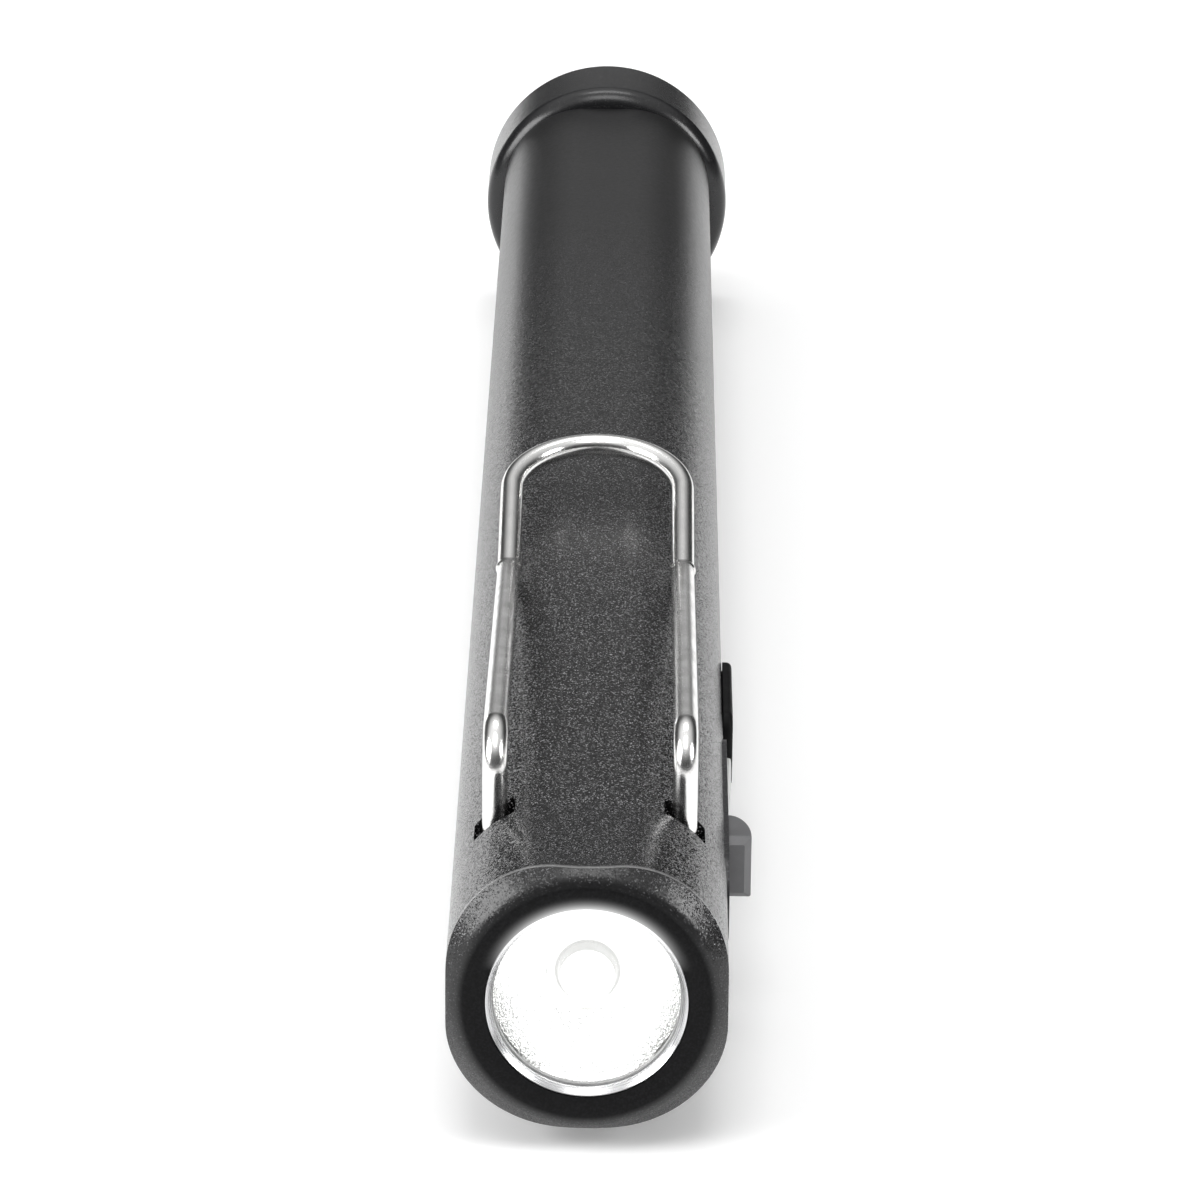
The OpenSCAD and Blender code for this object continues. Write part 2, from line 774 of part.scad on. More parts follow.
module port_cover() {
    color("#0b0b0c") union() {
        intersection() {
            facing_side(cover_under, port_at) linear_extrude(cover_out - cover_under)
                round_rect(cover_len, cover_h, cover_corner);
            translate([0, port_at - length, -cover_h]) linear_extrude(2 * cover_h)
                round_rect(2 * cover_out, cover_len, cover_edge);
        }
        facing_side(side_x - plug_depth, port_at) linear_extrude(plug_depth + cover_proud / 2)
            round_rect(plug_w, plug_h, cover_corner - window_gap);
        translate([hinge_x, hinge_at - length, -strap_h / 2]) cylinder(d = bead_d, h = strap_h);
    }
}

module cover_strap() {
    color("#0b0b0c") union() {
        block(strap_in, side_x, strap_from, strap_from + strap_len, -strap_h / 2, strap_h / 2);
        facing_side(bulb_out - lap, strap_mid) cylinder(d = stem_d, h = strap_in - bulb_out + 2 * lap);
        facing_side(bulb_out - bulb_t, strap_mid) cylinder(d = bulb_d, h = bulb_t);
    }
}

module positive_contact() {
    color("#c8a85a") union() {
        aft(board_end) cylinder(d = contact_stem_d, h = rear_bulkhead_t + lap);
        aft(carrier_end) cylinder(d = contact_d, h = contact_t);
    }
}

// Battery

module battery_cell() {
    color("#b4b6b8") aft(battery_at + terminal_t)
        cylinder(r = cell_r, h = battery_end - battery_at - terminal_t);
}

module battery_sleeve() {
    color("#2c5a8c") aft(battery_at + terminal_t)
        tube(cell_r + fit_gap + wrap_t, cell_r + fit_gap, battery_end - battery_at - terminal_t);
}

module battery_washer() {
    color("#e8e8e4") aft(battery_at + terminal_t - washer_t)
        tube(cell_r - wrap_t, terminal_d / 2 + fit_gap, washer_t);
}

module battery_cap() {
    color("#c4c6c8") aft(battery_at) cylinder(d = terminal_d, h = terminal_t);
}

// Tail

module tail_seal() {
    color("#141415") aft(seal_at) rotate_extrude() translate([seal_mean_r, 0]) circle(d = seal_d);
}

module tail_cap() {
    color("#202022") difference() {
        union() {
            aft(flange_at) rotate_extrude() tail_profile();
            aft(tail_spigot_at) cylinder(r = tail_spigot_r, h = tail_spigot_len + lap);
        }
        aft(tail_spigot_at - over) cylinder(r = tail_bore_r, h = tail_spigot_len + tail_pocket + over);
        aft(seal_at - seal_room / 2) tube(bore_r, seal_floor_r, seal_room);
    }
}

// Half section of the tail flange, with both edges round
module tail_profile() {
    round_len = tail_front_edge + tail_edge;
    square([tail_r - tail_front_edge, tail_len]);
    translate([0, tail_front_edge]) square([tail_r - tail_edge, tail_len - tail_front_edge]);
    translate([0, tail_front_edge]) square([tail_r, tail_len - round_len]);
    translate([tail_r - tail_front_edge, tail_front_edge]) circle(r = tail_front_edge);
    translate([tail_r - tail_edge, tail_len - tail_edge]) circle(r = tail_edge);
}

// Points of the spring's wire, ring by ring
function spring_ring(turn, h) = [
    for (k = [0 : spring_sides - 1])
        let (a = 360 * k / spring_sides, r = spring_r + spring_wire_d / 2 * cos(a))
        [r * cos(360 * turn), r * sin(360 * turn), h * turn / spring_turns + spring_wire_d / 2 * sin(a)]
];

// Least distance between the points of one turn and those of the next
function turn_gap(points) = min([
    for (i = [0 : spring_sides - 1], k = [0 : spring_sides - 1])
        norm(points[i] - points[spring_rings * spring_sides + k])
]);

module tail_spring() {
    rings = spring_turns * spring_rings;
    free_h = spring_len - spring_wire_d - run_gap;
    points = [for (i = [0 : rings]) each spring_ring(i / spring_rings, free_h)];
    last = rings * spring_sides;
    sides = [
        for (i = [0 : rings - 1], k = [0 : spring_sides - 1])
            let (a = i * spring_sides, b = a + spring_sides, n = (k + 1) % spring_sides)
            each [[a + k, a + n, b + k], [a + n, b + n, b + k]]
    ];
    caps = [
        for (k = [1 : spring_sides - 2])
            each [[0, k + 1, k], [last, last + k, last + k + 1]]
    ];
    echo(spring_self_gap = turn_gap(points));
    color("#c8c9cb") aft(battery_end + run_gap + spring_wire_d / 2) polyhedron(points, concat(sides, caps));
}

module tail_contact() {
    color("#c8a85a") aft(tail_contact_at) cylinder(r = tail_bore_r - fit_gap, h = tail_contact_t);
}

head_shell();
lens_ring();
lens_gasket();
lens();
reflector();
led_spacer();
led_emitter();
led_board();
heat_sink();
led_leads();
barrel();
clip_wire();
switch_plate();
switch_button();
switch_plunger();
tact_switch();
snap_dome();
control_board();
board_parts();
board_carrier();
indicator_lens();
charge_led();
usb_shell();
usb_tongue();
port_cover();
cover_strap();
positive_contact();
battery_cell();
battery_sleeve();
battery_washer();
battery_cap();
tail_seal();
tail_cap();
tail_spring();
tail_contact();
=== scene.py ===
"""Dressed model of a slim pocket light with a wire clip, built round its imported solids."""

import json
import logging
import math
from collections.abc import Callable, Iterable, Sequence
from dataclasses import dataclass, field
from enum import Enum
from functools import cache

import bmesh
import bpy
from mathutils import Matrix, Vector


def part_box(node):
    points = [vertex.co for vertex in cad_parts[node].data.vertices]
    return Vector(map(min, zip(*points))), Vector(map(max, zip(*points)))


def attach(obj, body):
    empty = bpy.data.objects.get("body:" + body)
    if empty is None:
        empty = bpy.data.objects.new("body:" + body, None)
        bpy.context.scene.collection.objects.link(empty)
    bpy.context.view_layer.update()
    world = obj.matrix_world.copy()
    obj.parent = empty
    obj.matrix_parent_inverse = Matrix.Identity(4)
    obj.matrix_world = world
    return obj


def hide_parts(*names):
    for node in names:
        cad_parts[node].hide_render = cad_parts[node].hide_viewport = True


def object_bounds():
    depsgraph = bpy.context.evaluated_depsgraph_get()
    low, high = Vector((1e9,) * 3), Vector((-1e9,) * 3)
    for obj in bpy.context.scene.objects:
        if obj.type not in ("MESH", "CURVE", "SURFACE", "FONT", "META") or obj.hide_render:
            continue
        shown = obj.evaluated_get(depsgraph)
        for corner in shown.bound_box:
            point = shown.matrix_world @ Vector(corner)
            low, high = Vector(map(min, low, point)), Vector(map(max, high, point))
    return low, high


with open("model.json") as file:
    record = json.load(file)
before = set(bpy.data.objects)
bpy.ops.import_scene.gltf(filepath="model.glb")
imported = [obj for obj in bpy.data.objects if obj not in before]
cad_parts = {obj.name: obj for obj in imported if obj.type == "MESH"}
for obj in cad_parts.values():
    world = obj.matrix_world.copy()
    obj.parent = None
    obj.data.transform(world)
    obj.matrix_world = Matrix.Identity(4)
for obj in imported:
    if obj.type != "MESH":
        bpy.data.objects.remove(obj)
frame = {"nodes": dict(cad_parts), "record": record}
CAD_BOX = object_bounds()
LOG = logging.getLogger("pocket_light")

Colour = tuple[float, float, float]
Point = tuple[float, float, float]
Range = tuple[float, float]
Box = tuple[Vector, Vector]
Edge = bmesh.types.BMEdge
Vert = bmesh.types.BMVert
Socket = bpy.types.NodeSocket

# Lengths are millimetres up to the finished mesh, which is in metres.
MM = 0.001
# Places closer than this are the same, such points become one, and edges this short go.
NEAR, MERGED, SLIVER = 1e-3, 1e-4, 1e-5
QUARTER = 90
# Facets across a small rounding, and how much large faces steer the normals next to it.
SMALL_ROUND, FACE_WEIGHT = 2, 60
# A full share, the usual range of a soft random pattern, and its octaves.
SHARE: Range = (0, 1)
CLOUD: Range = (0.3, 0.7)
PLAIN, MIXED, RICH = 2.0, 3.0, 4.0
# Sockets of a mapped range, and places of the two colours and of the result among a colour mix's sockets.
RANGE_LIMITS = ("From Min", "From Max", "To Min", "To Max")
MIX_FIRST, MIX_SECOND, MIX_RESULT = 6, 7, 2
WHITE: Colour = (1.0, 1.0, 1.0)
GLOW: Colour = (0.95, 0.95, 0.95)


class Body(str, Enum):
    """Moving bodies that a piece can ride on."""

    LIGHT = "light"
    CLIP = "clip"
    BUTTON = "button"
    COVER = "cover"
    TAIL = "tail"


class Join(str, Enum):
    """Ways of combining two closed forms."""

    CUT = "DIFFERENCE"
    ADD = "UNION"
    SHARED = "INTERSECT"


class Axis(Enum):
    """Directions of the frame."""

    X = 0
    Y = 1
    Z = 2


class Facets(Enum):
    """Facets of a full turn, by how closely a round piece is looked at."""

    FACE = 256
    OUTER = 160
    BORE = 128
    LENS = 64
    HOLE = 48
    STUD = 32


class Fold(Enum):
    """Least angle in degrees of an edge that is rounded."""

    SLIGHT = 25
    SHALLOW = 30
    MIDDLE = 35
    STEEP = 40


class Sum(str, Enum):
    """Ways of combining values or vectors in a node graph."""

    PLUS = "ADD"
    LESS = "SUBTRACT"
    TIMES = "MULTIPLY"
    MOST = "MAXIMUM"
    SPREAD = "MULTIPLY_ADD"
    UNIT = "NORMALIZE"


class Cells(str, Enum):
    """Kinds of cell pattern."""

    GRAINS = "F1"
    DIMPLES = "SMOOTH_F1"
    BORDERS = "DISTANCE_TO_EDGE"


class Slope(str, Enum):
    """How one range runs over into another."""

    STRAIGHT = "LINEAR"
    SMOOTH = "SMOOTHSTEP"


def span(node: str) -> Box:
    """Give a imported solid's lowest and highest corners in millimetres."""
    low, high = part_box(node)
    return low / MM, high / MM


def shade(colour: Colour, share: float) -> Colour:
    """Give a darker or lighter tone of a colour."""
    return tuple(share * part for part in colour)


class Form:
    """A mesh under construction, in millimetres of the part's frame."""

    def __init__(self) -> None:
        """Start with an empty mesh."""
        self.bm = bmesh.new()

    @classmethod
    def block(cls, low: Sequence[float], high: Sequence[float]) -> "Form":
        """Make a box between two corners.

        Args:
            low: lowest corner.
            high: highest corner.

        Returns:
            The closed box.
        """
        form = cls()
        size = Vector(high) - Vector(low)
        place = Matrix.Translation((Vector(high) + Vector(low)) / 2) @ Matrix.Diagonal((*size, 1.0))
        bmesh.ops.create_cube(form.bm, size=1.0, matrix=place)
        return form

    @classmethod
    def lathe(cls, profile: Sequence[Range], facets: Facets = Facets.OUTER) -> "Form":
        """Turn a closed profile round the long axis.

        Args:
            profile: corners as radius and distance along the axis.
            facets: facets of the full turn.

        Returns:
            The closed turned form.
        """
        form = cls()
        ring = [form.bm.verts.new((radius, along, 0.0)) for radius, along in profile]
        edges = [form.bm.edges.new(pair) for pair in zip(ring, ring[1:] + ring[:1])]
        bmesh.ops.spin(
            form.bm, geom=ring + edges, cent=(0, 0, 0), axis=(0, 1, 0), dvec=(0, 0, 0),
            angle=math.tau, steps=facets.value, use_merge=True, use_duplicate=False,
        )
        return form.closed()

    @classmethod
    def rod(cls, radius: float, start: float, end: float, facets: Facets = Facets.OUTER) -> "Form":
        """Turn a plain rod round the long axis."""
        return cls.lathe([(0, start), (radius, start), (radius, end), (0, end)], facets)

    @classmethod
    def slab(
        cls, low: Sequence[float], high: Sequence[float], corner: float, along: Axis, steps: int
    ) -> "Form":
        """Make a box whose edges along one direction are rounded.

        Args:
            low: lowest corner.
            high: highest corner.
            corner: radius of the rounded edges.
            along: direction of the rounded edges.
            steps: facets of each rounded edge.

        Returns:
            The closed slab.
        """
        form = cls.block(low, high)
        return form.soften(corner, steps, lambda edge: cls.runs(edge, along))

    @staticmethod
    def runs(edge: Edge, along: Axis) -> bool:
        """Tell whether an edge runs along one direction of the frame."""
        way = (edge.verts[1].co - edge.verts[0].co).normalized()
        return abs(way[along.value]) > 1 - NEAR

    @staticmethod
    def middle(edge: Edge) -> Vector:
        """Give the middle of an edge."""
        return (edge.verts[0].co + edge.verts[1].co) / 2

    @staticmethod
    def reach(edge: Edge) -> float:
        """Give how far the middle of an edge lies from the long axis."""
        return math.hypot(*Form.middle(edge).xz)

    @staticmethod
    def folded(edge: Edge, least: Fold) -> bool:
        """Tell whether an edge is folded by more than an angle."""
        return len(edge.link_faces) == 2 and math.degrees(edge.calc_face_angle(0.0)) > least.value

    def soften(self, width: float, segments: int, chosen: Callable[[Edge], bool]) -> "Form":
        """Round or chamfer the chosen edges.

        Args:
            width: distance from the edge.
            segments: facets across, one for a chamfer.
            chosen: picks the edges.

        Returns:
            This form.
        """
        edges = [edge for edge in self.bm.edges if chosen(edge)]
        bmesh.ops.bevel(
            self.bm, geom=edges, offset=width, offset_type="OFFSET", segments=segments, profile=0.5,
            affect="EDGES", material=-1, clamp_overlap=True,
        )
        return self

    def soften_folds(self, width: float, least: Fold = Fold.STEEP) -> "Form":
        """Give every edge that is folded by more than an angle a small rounding."""
        return self.soften(width, SMALL_ROUND, lambda edge: self.folded(edge, least))

    def closed(self) -> "Form":
        """Merge doubled points and turn every face outwards.

        Returns:
            This form.
        """
        bmesh.ops.remove_doubles(self.bm, verts=self.bm.verts, dist=MERGED)
        bmesh.ops.dissolve_degenerate(self.bm, edges=self.bm.edges, dist=SLIVER)
        bmesh.ops.recalc_face_normals(self.bm, faces=self.bm.faces)
        return self

    def turned(self, angle: float, axis: Axis) -> "Form":
        """Turn the whole form about the origin.

        Args:
            angle: degrees.
            axis: direction that it turns about.

        Returns:
            This form.
        """
        turn = Matrix.Rotation(math.radians(angle), 3, axis.name)
        bmesh.ops.rotate(self.bm, cent=(0, 0, 0), matrix=turn, verts=self.bm.verts)
        return self

    def moved(self, by: Point) -> "Form":
        """Shift the whole form."""
        bmesh.ops.translate(self.bm, vec=by, verts=self.bm.verts)
        return self

    def across(self, at: float) -> "Form":
        """Lay a turned form across the light at a place on its long axis."""
        return self.turned(-QUARTER, Axis.Z).moved((0, at, 0))

    def sliced(self, point: Point, normal: Point) -> "Form":
        """Cut away what lies beyond a plane and close the cut.

        Args:
            point: a point of the plane.
            normal: direction of the side that goes.

        Returns:
            This form.
        """
        geom = [*self.bm.verts, *self.bm.edges, *self.bm.faces]
        cut = bmesh.ops.bisect_plane(
            self.bm, geom=geom, dist=SLIVER, plane_co=point, plane_no=normal, clear_outer=True
        )
        bmesh.ops.edgeloop_fill(self.bm, edges=self.only(cut["geom_cut"], Edge))
        return self.closed()

    @staticmethod
    def only(pieces: Iterable[object], kind: type) -> list:
        """Pick the points or the edges out of an operator's result."""
        return [piece for piece in pieces if isinstance(piece, kind)]

    def with_shell(self, other: "Form") -> "Form":
        """Take another closed form in as a shell of its own.

        Args:
            other: the form, used up by this.

        Returns:
            This form.
        """
        spare = bpy.data.meshes.new("spare")
        other.bm.to_mesh(spare)
        other.bm.free()
        self.bm.from_mesh(spare)
        bpy.data.meshes.remove(spare)
        return self

    def joined(self, how: Join, others: Iterable["Form"]) -> "Form":
        """Combine this form with others, one after the other.

        Args:
            how: cut them away, add them or keep the shared part.
            others: the closed forms, used up by this.

        Returns:
            This form.
        """
        base = self.scratch()
        tools = [other.scratch() for other in others]
        for tool in tools:
            step = base.modifiers.new(tool.name, "BOOLEAN")
            step.operation, step.solver, step.object = how.value, "EXACT", tool
        done = base.evaluated_get(bpy.context.evaluated_depsgraph_get())
        self.bm.clear()
        self.bm.from_mesh(done.to_mesh())
        done.to_mesh_clear()
        for spare in [base, *tools]:
            mesh = spare.data
            bpy.data.objects.remove(spare)
            bpy.data.meshes.remove(mesh)
        return self.closed()

    def scratch(self) -> bpy.types.Object:
        """Put the form into a spare object for a modifier.

        Returns:
            The spare object.
        """
        mesh = bpy.data.meshes.new("spare")
        self.bm.to_mesh(mesh)
        spare = bpy.data.objects.new("spare", mesh)
        bpy.context.scene.collection.objects.link(spare)
        return spare

    def piece(
        self, name: str, body: Body, slot: str, finish: "Finish", stands_for: Sequence[str],
        crease: float = 32.0,
    ) -> None:
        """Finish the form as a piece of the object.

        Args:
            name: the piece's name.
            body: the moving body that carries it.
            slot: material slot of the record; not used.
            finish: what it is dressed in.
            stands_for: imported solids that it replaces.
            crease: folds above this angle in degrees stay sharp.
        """
        bmesh.ops.scale(self.bm, vec=(MM, MM, MM), verts=self.bm.verts)
        mesh = bpy.data.meshes.new(name)
        self.bm.to_mesh(mesh)
        self.bm.free()
        mesh.shade_smooth()
        mesh.set_sharp_from_angle(angle=math.radians(crease))
        mesh.materials.append(finish.material())
        piece = bpy.data.objects.new(name, mesh)
        bpy.context.scene.collection.objects.link(piece)
        even = piece.modifiers.new("even_normals", "WEIGHTED_NORMAL")
        even.keep_sharp, even.weight = True, FACE_WEIGHT
        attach(piece, body.value)
        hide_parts(*stands_for)
        LOG.info("piece %s: %d faces on %s", name, len(mesh.polygons), body.value)


class Graph:
    """Nodes of a material or of the world, added one by one."""

    def __init__(self, tree: bpy.types.NodeTree) -> None:
        """Start with an empty tree."""
        self.tree = tree
        tree.nodes.clear()

    def give(self, target: Socket, value: object) -> None:
        """Join a socket to another one, or set its own value.

        Args:
            target: the socket.
            value: another socket, a number, a vector or a colour.
        """
        if isinstance(value, Socket):
            self.tree.links.new(value, target)
        else:
            target.default_value = (*value, 1.0) if target.type == "RGBA" else value

    def node(
        self, kind: str, output: int | str, inputs: dict[int | str, object], **settings: object
    ) -> Socket:
        """Add a node.

        Args:
            kind: what Blender calls it.
            output: which of its outputs is wanted.
            inputs: what goes into each of its inputs.
            settings: its properties.

        Returns:
            The output's socket.
        """
        made = self.tree.nodes.new(kind)
        for key, value in settings.items():
            setattr(made, key, value.value if isinstance(value, Enum) else value)
        for key, value in inputs.items():
            self.give(made.inputs[key], value)
        return made.outputs[output]

    def ends_in(self, kind: str, surface: Socket) -> None:
        """Add the output node and join the surface to it."""
        self.give(self.tree.nodes.new(kind).inputs["Surface"], surface)

    def ranged(self, value: Socket, start: Range, end: Range, slope: Slope = Slope.STRAIGHT) -> Socket:
        """Map the range that a value has to the range that it gets."""
        inputs = {"Value": value, **dict(zip(RANGE_LIMITS, (*start, *end)))}
        return self.node("ShaderNodeMapRange", "Result", inputs, interpolation_type=slope)

    def combined(self, how: Sum, first: Socket, *others: object) -> Socket:
        """Combine values from the first to the last.

        Args:
            how: what is done with each two.
            first: the first socket.
            others: further sockets or numbers.

        Returns:
            The result's socket.
        """
        for other in others:
            first = self.node("ShaderNodeMath", "Value", {0: first, 1: other}, operation=how)
        return first

    def unsigned(self, value: Socket) -> Socket:
        """Give a value without its sign."""
        return self.node("ShaderNodeMath", "Value", {0: value}, operation="ABSOLUTE")

    def vectors(self, how: Sum, *inputs: object) -> Socket:
        """Combine sockets or fixed vectors part by part."""
        return self.node("ShaderNodeVectorMath", "Vector", dict(enumerate(inputs)), operation=how)

    def part(self, vector: Socket, axis: Axis) -> Socket:
        """Give one part of a vector."""
        return self.node("ShaderNodeSeparateXYZ", axis.name, {"Vector": vector})


class Paint(Graph):
    """A material's nodes on the part's own coordinates, in millimetres."""

    def __init__(self, name: str) -> None:
        """Start a material.

        Args:
            name: the material's name.
        """
        self.material = bpy.data.materials.new(name)
        self.material.use_nodes = True
        super().__init__(self.material.node_tree)
        self.place = self.node("ShaderNodeTexCoord", "Object", {})

    def fill(self, sockets: dict[str, object]) -> bpy.types.Material:
        """Finish the material with what goes into each of the shader's sockets."""
        self.ends_in("ShaderNodeOutputMaterial", self.node("ShaderNodeBsdfPrincipled", "BSDF", sockets))
        return self.material

    def coords(self, stretch: Point = (1, 1, 1)) -> Socket:
        """Give the part's coordinates in millimetres, with how much finer a pattern runs along each."""
        scale = tuple(value / MM for value in stretch)
        return self.node("ShaderNodeMapping", "Vector", {"Vector": self.place, "Scale": scale})

    def along(self, axis: Axis) -> Socket:
        """Give the place along one direction in millimetres."""
        return self.part(self.coords(), axis)

    def radius(self) -> Socket:
        """Give the distance from the long axis in millimetres."""
        flat = self.vectors(Sum.TIMES, self.coords(), (1, 0, 1))
        return self.node("ShaderNodeVectorMath", "Value", {0: flat}, operation="LENGTH")

    def turned_coords(self) -> Socket:
        """Give distance from the long axis and along it, for patterns that a lathe leaves."""
        return self.node("ShaderNodeCombineXYZ", "Vector", {"X": self.radius(), "Y": self.along(Axis.Y)})

    def noise(self, where: Socket, scale: float, detail: float = PLAIN) -> Socket:
        """Add a soft random pattern with so many patches in a millimetre."""
        return self.node("ShaderNodeTexNoise", "Fac", {"Vector": where, "Scale": scale, "Detail": detail})

    def cells(self, where: Socket, scale: float, kind: Cells, output: str) -> Socket:
        """Add so many small cells in a millimetre, as a distance in them or a colour of their own."""
        return self.node("ShaderNodeTexVoronoi", output, {"Vector": where, "Scale": scale}, feature=kind)

    def blended(self, share: Socket, first: object, second: object) -> Socket:
        """Blend two colours or colour sockets by a share."""
        inputs = {"Factor": share, MIX_FIRST: first, MIX_SECOND: second}
        return self.node("ShaderNodeMix", MIX_RESULT, inputs, data_type="RGBA")

    def clouded(self, pattern: Socket, dull: float, colour: Colour) -> Socket:
        """Let a colour drift between a duller tone and itself."""
        return self.blended(self.ranged(pattern, CLOUD, SHARE), shade(colour, dull), colour)

    def bump(self, height: Socket, depth: float) -> Socket:
        """Raise a pattern from the surface by a depth in millimetres."""
        inputs = {"Strength": 1.0, "Distance": depth * MM, "Height": height}
        return self.node("ShaderNodeBump", "Normal", inputs)

    def facets(self, grains: Socket, tilt: Socket) -> Socket:
        """Tip the surface in every grain, most of them little and a few a lot, as a blasted face is.

        Args:
            grains: a colour for each grain.
            tilt: how far the steepest facets tip, as a slope.

        Returns:
            The normal socket.
        """
        # Colours from nought to one become slopes from minus one to one, most of them made small.
        way = self.vectors(Sum.SPREAD, grains, (2, 2, 2), (-1, -1, -1))
        square = self.vectors(Sum.TIMES, way, way)
        strong = self.vectors(Sum.TIMES, self.vectors(Sum.TIMES, square, square), way)
        scaled = self.node("ShaderNodeVectorMath", "Vector", {0: strong, "Scale": tilt}, operation="SCALE")
        upright = self.node("ShaderNodeNewGeometry", "Normal", {})
        return self.vectors(Sum.UNIT, self.vectors(Sum.PLUS, upright, scaled))


@dataclass(frozen=True)
class Finish:
    """What a surface is dressed in."""

    name: str
    colour: Colour
    rough: float
    drift: Range = field(default=(0.0, 0.1), kw_only=True)

    @cache
    def material(self) -> bpy.types.Material:
        """Give the finish's material, made once."""
        paint = Paint(self.name)
        return paint.fill(self.sockets(paint))

    def roughness(self, paint: Paint, pattern: Socket, limits: Range = CLOUD) -> Socket:
        """Let the roughness drift along a pattern."""
        low, high = self.drift
        return paint.ranged(pattern, limits, (self.rough + low, self.rough + high))

    def sockets(self, paint: Paint) -> dict[str, object]:
        """Make the finish's patterns.

        Args:
            paint: an empty material.

        Returns:
            What goes into each of the shader's sockets.
        """
        raise NotImplementedError


@dataclass(frozen=True, kw_only=True)
class BlastedAnodise(Finish):
    """Dark anodising on a blasted face, whose small facets glint where they tip towards the light."""

    front_rough: float
    # Colour of pale flecks, partly grains of the blast and partly painted glints.
    glint_fleck: Colour
    grain: float
    tilt: float
    tail_tilt: float = 0.03
    patch: float = 0.35
    patch_tone: float = 0.8
    flecked: Range = (0.88, 1.0)
    handling: float = 3.0
    handled: Range = (0.25, 0.75)
    drift: Range = (-0.03, 0.03)
    fading: Range = (-115, -30)
    gloss_index: float = 1.5

    def sockets(self, paint: Paint) -> dict[str, object]:
        """Make the patterns of the blasted face.

        Args:
            paint: an empty material.

        Returns:
            What goes into each of the shader's sockets.
        """
        where = paint.coords()
        grains = paint.cells(where, 1 / self.grain, Cells.GRAINS, "Color")
        tone = paint.clouded(paint.noise(where, self.patch, RICH), self.patch_tone, self.colour)
        picked = paint.node("ShaderNodeSeparateColor", "Blue", {"Color": grains})
        strength = self.strength(paint)
        # Pale flecks in the colour: partly grains of the blast, partly painted glints where facets would
        # catch the light.
        glint_fleck = paint.combined(Sum.TIMES, paint.ranged(picked, self.flecked, SHARE), strength)
        rough = paint.ranged(strength, SHARE, (self.rough, self.front_rough))
        handled = paint.ranged(paint.noise(where, self.handling, MIXED), self.handled, self.drift)
        tilt = paint.ranged(strength, SHARE, (0, self.tilt))
        return {
            "Base Color": paint.blended(glint_fleck, tone, self.glint_fleck),
            "Roughness": paint.combined(Sum.PLUS, rough, handled),
            "Normal": paint.facets(grains, self.lean(paint, tilt)),
            "IOR": self.gloss_index,
        }

    def strength(self, paint: Paint) -> Socket:
        """Give how strong the grain is, fading from the front to the tail."""
        return paint.ranged(paint.along(Axis.Y), self.fading, (1, self.tail_tilt / self.tilt))

    def lean(self, paint: Paint, tilt: Socket) -> Socket:
        """Give how far the steepest facets tip."""
        return tilt


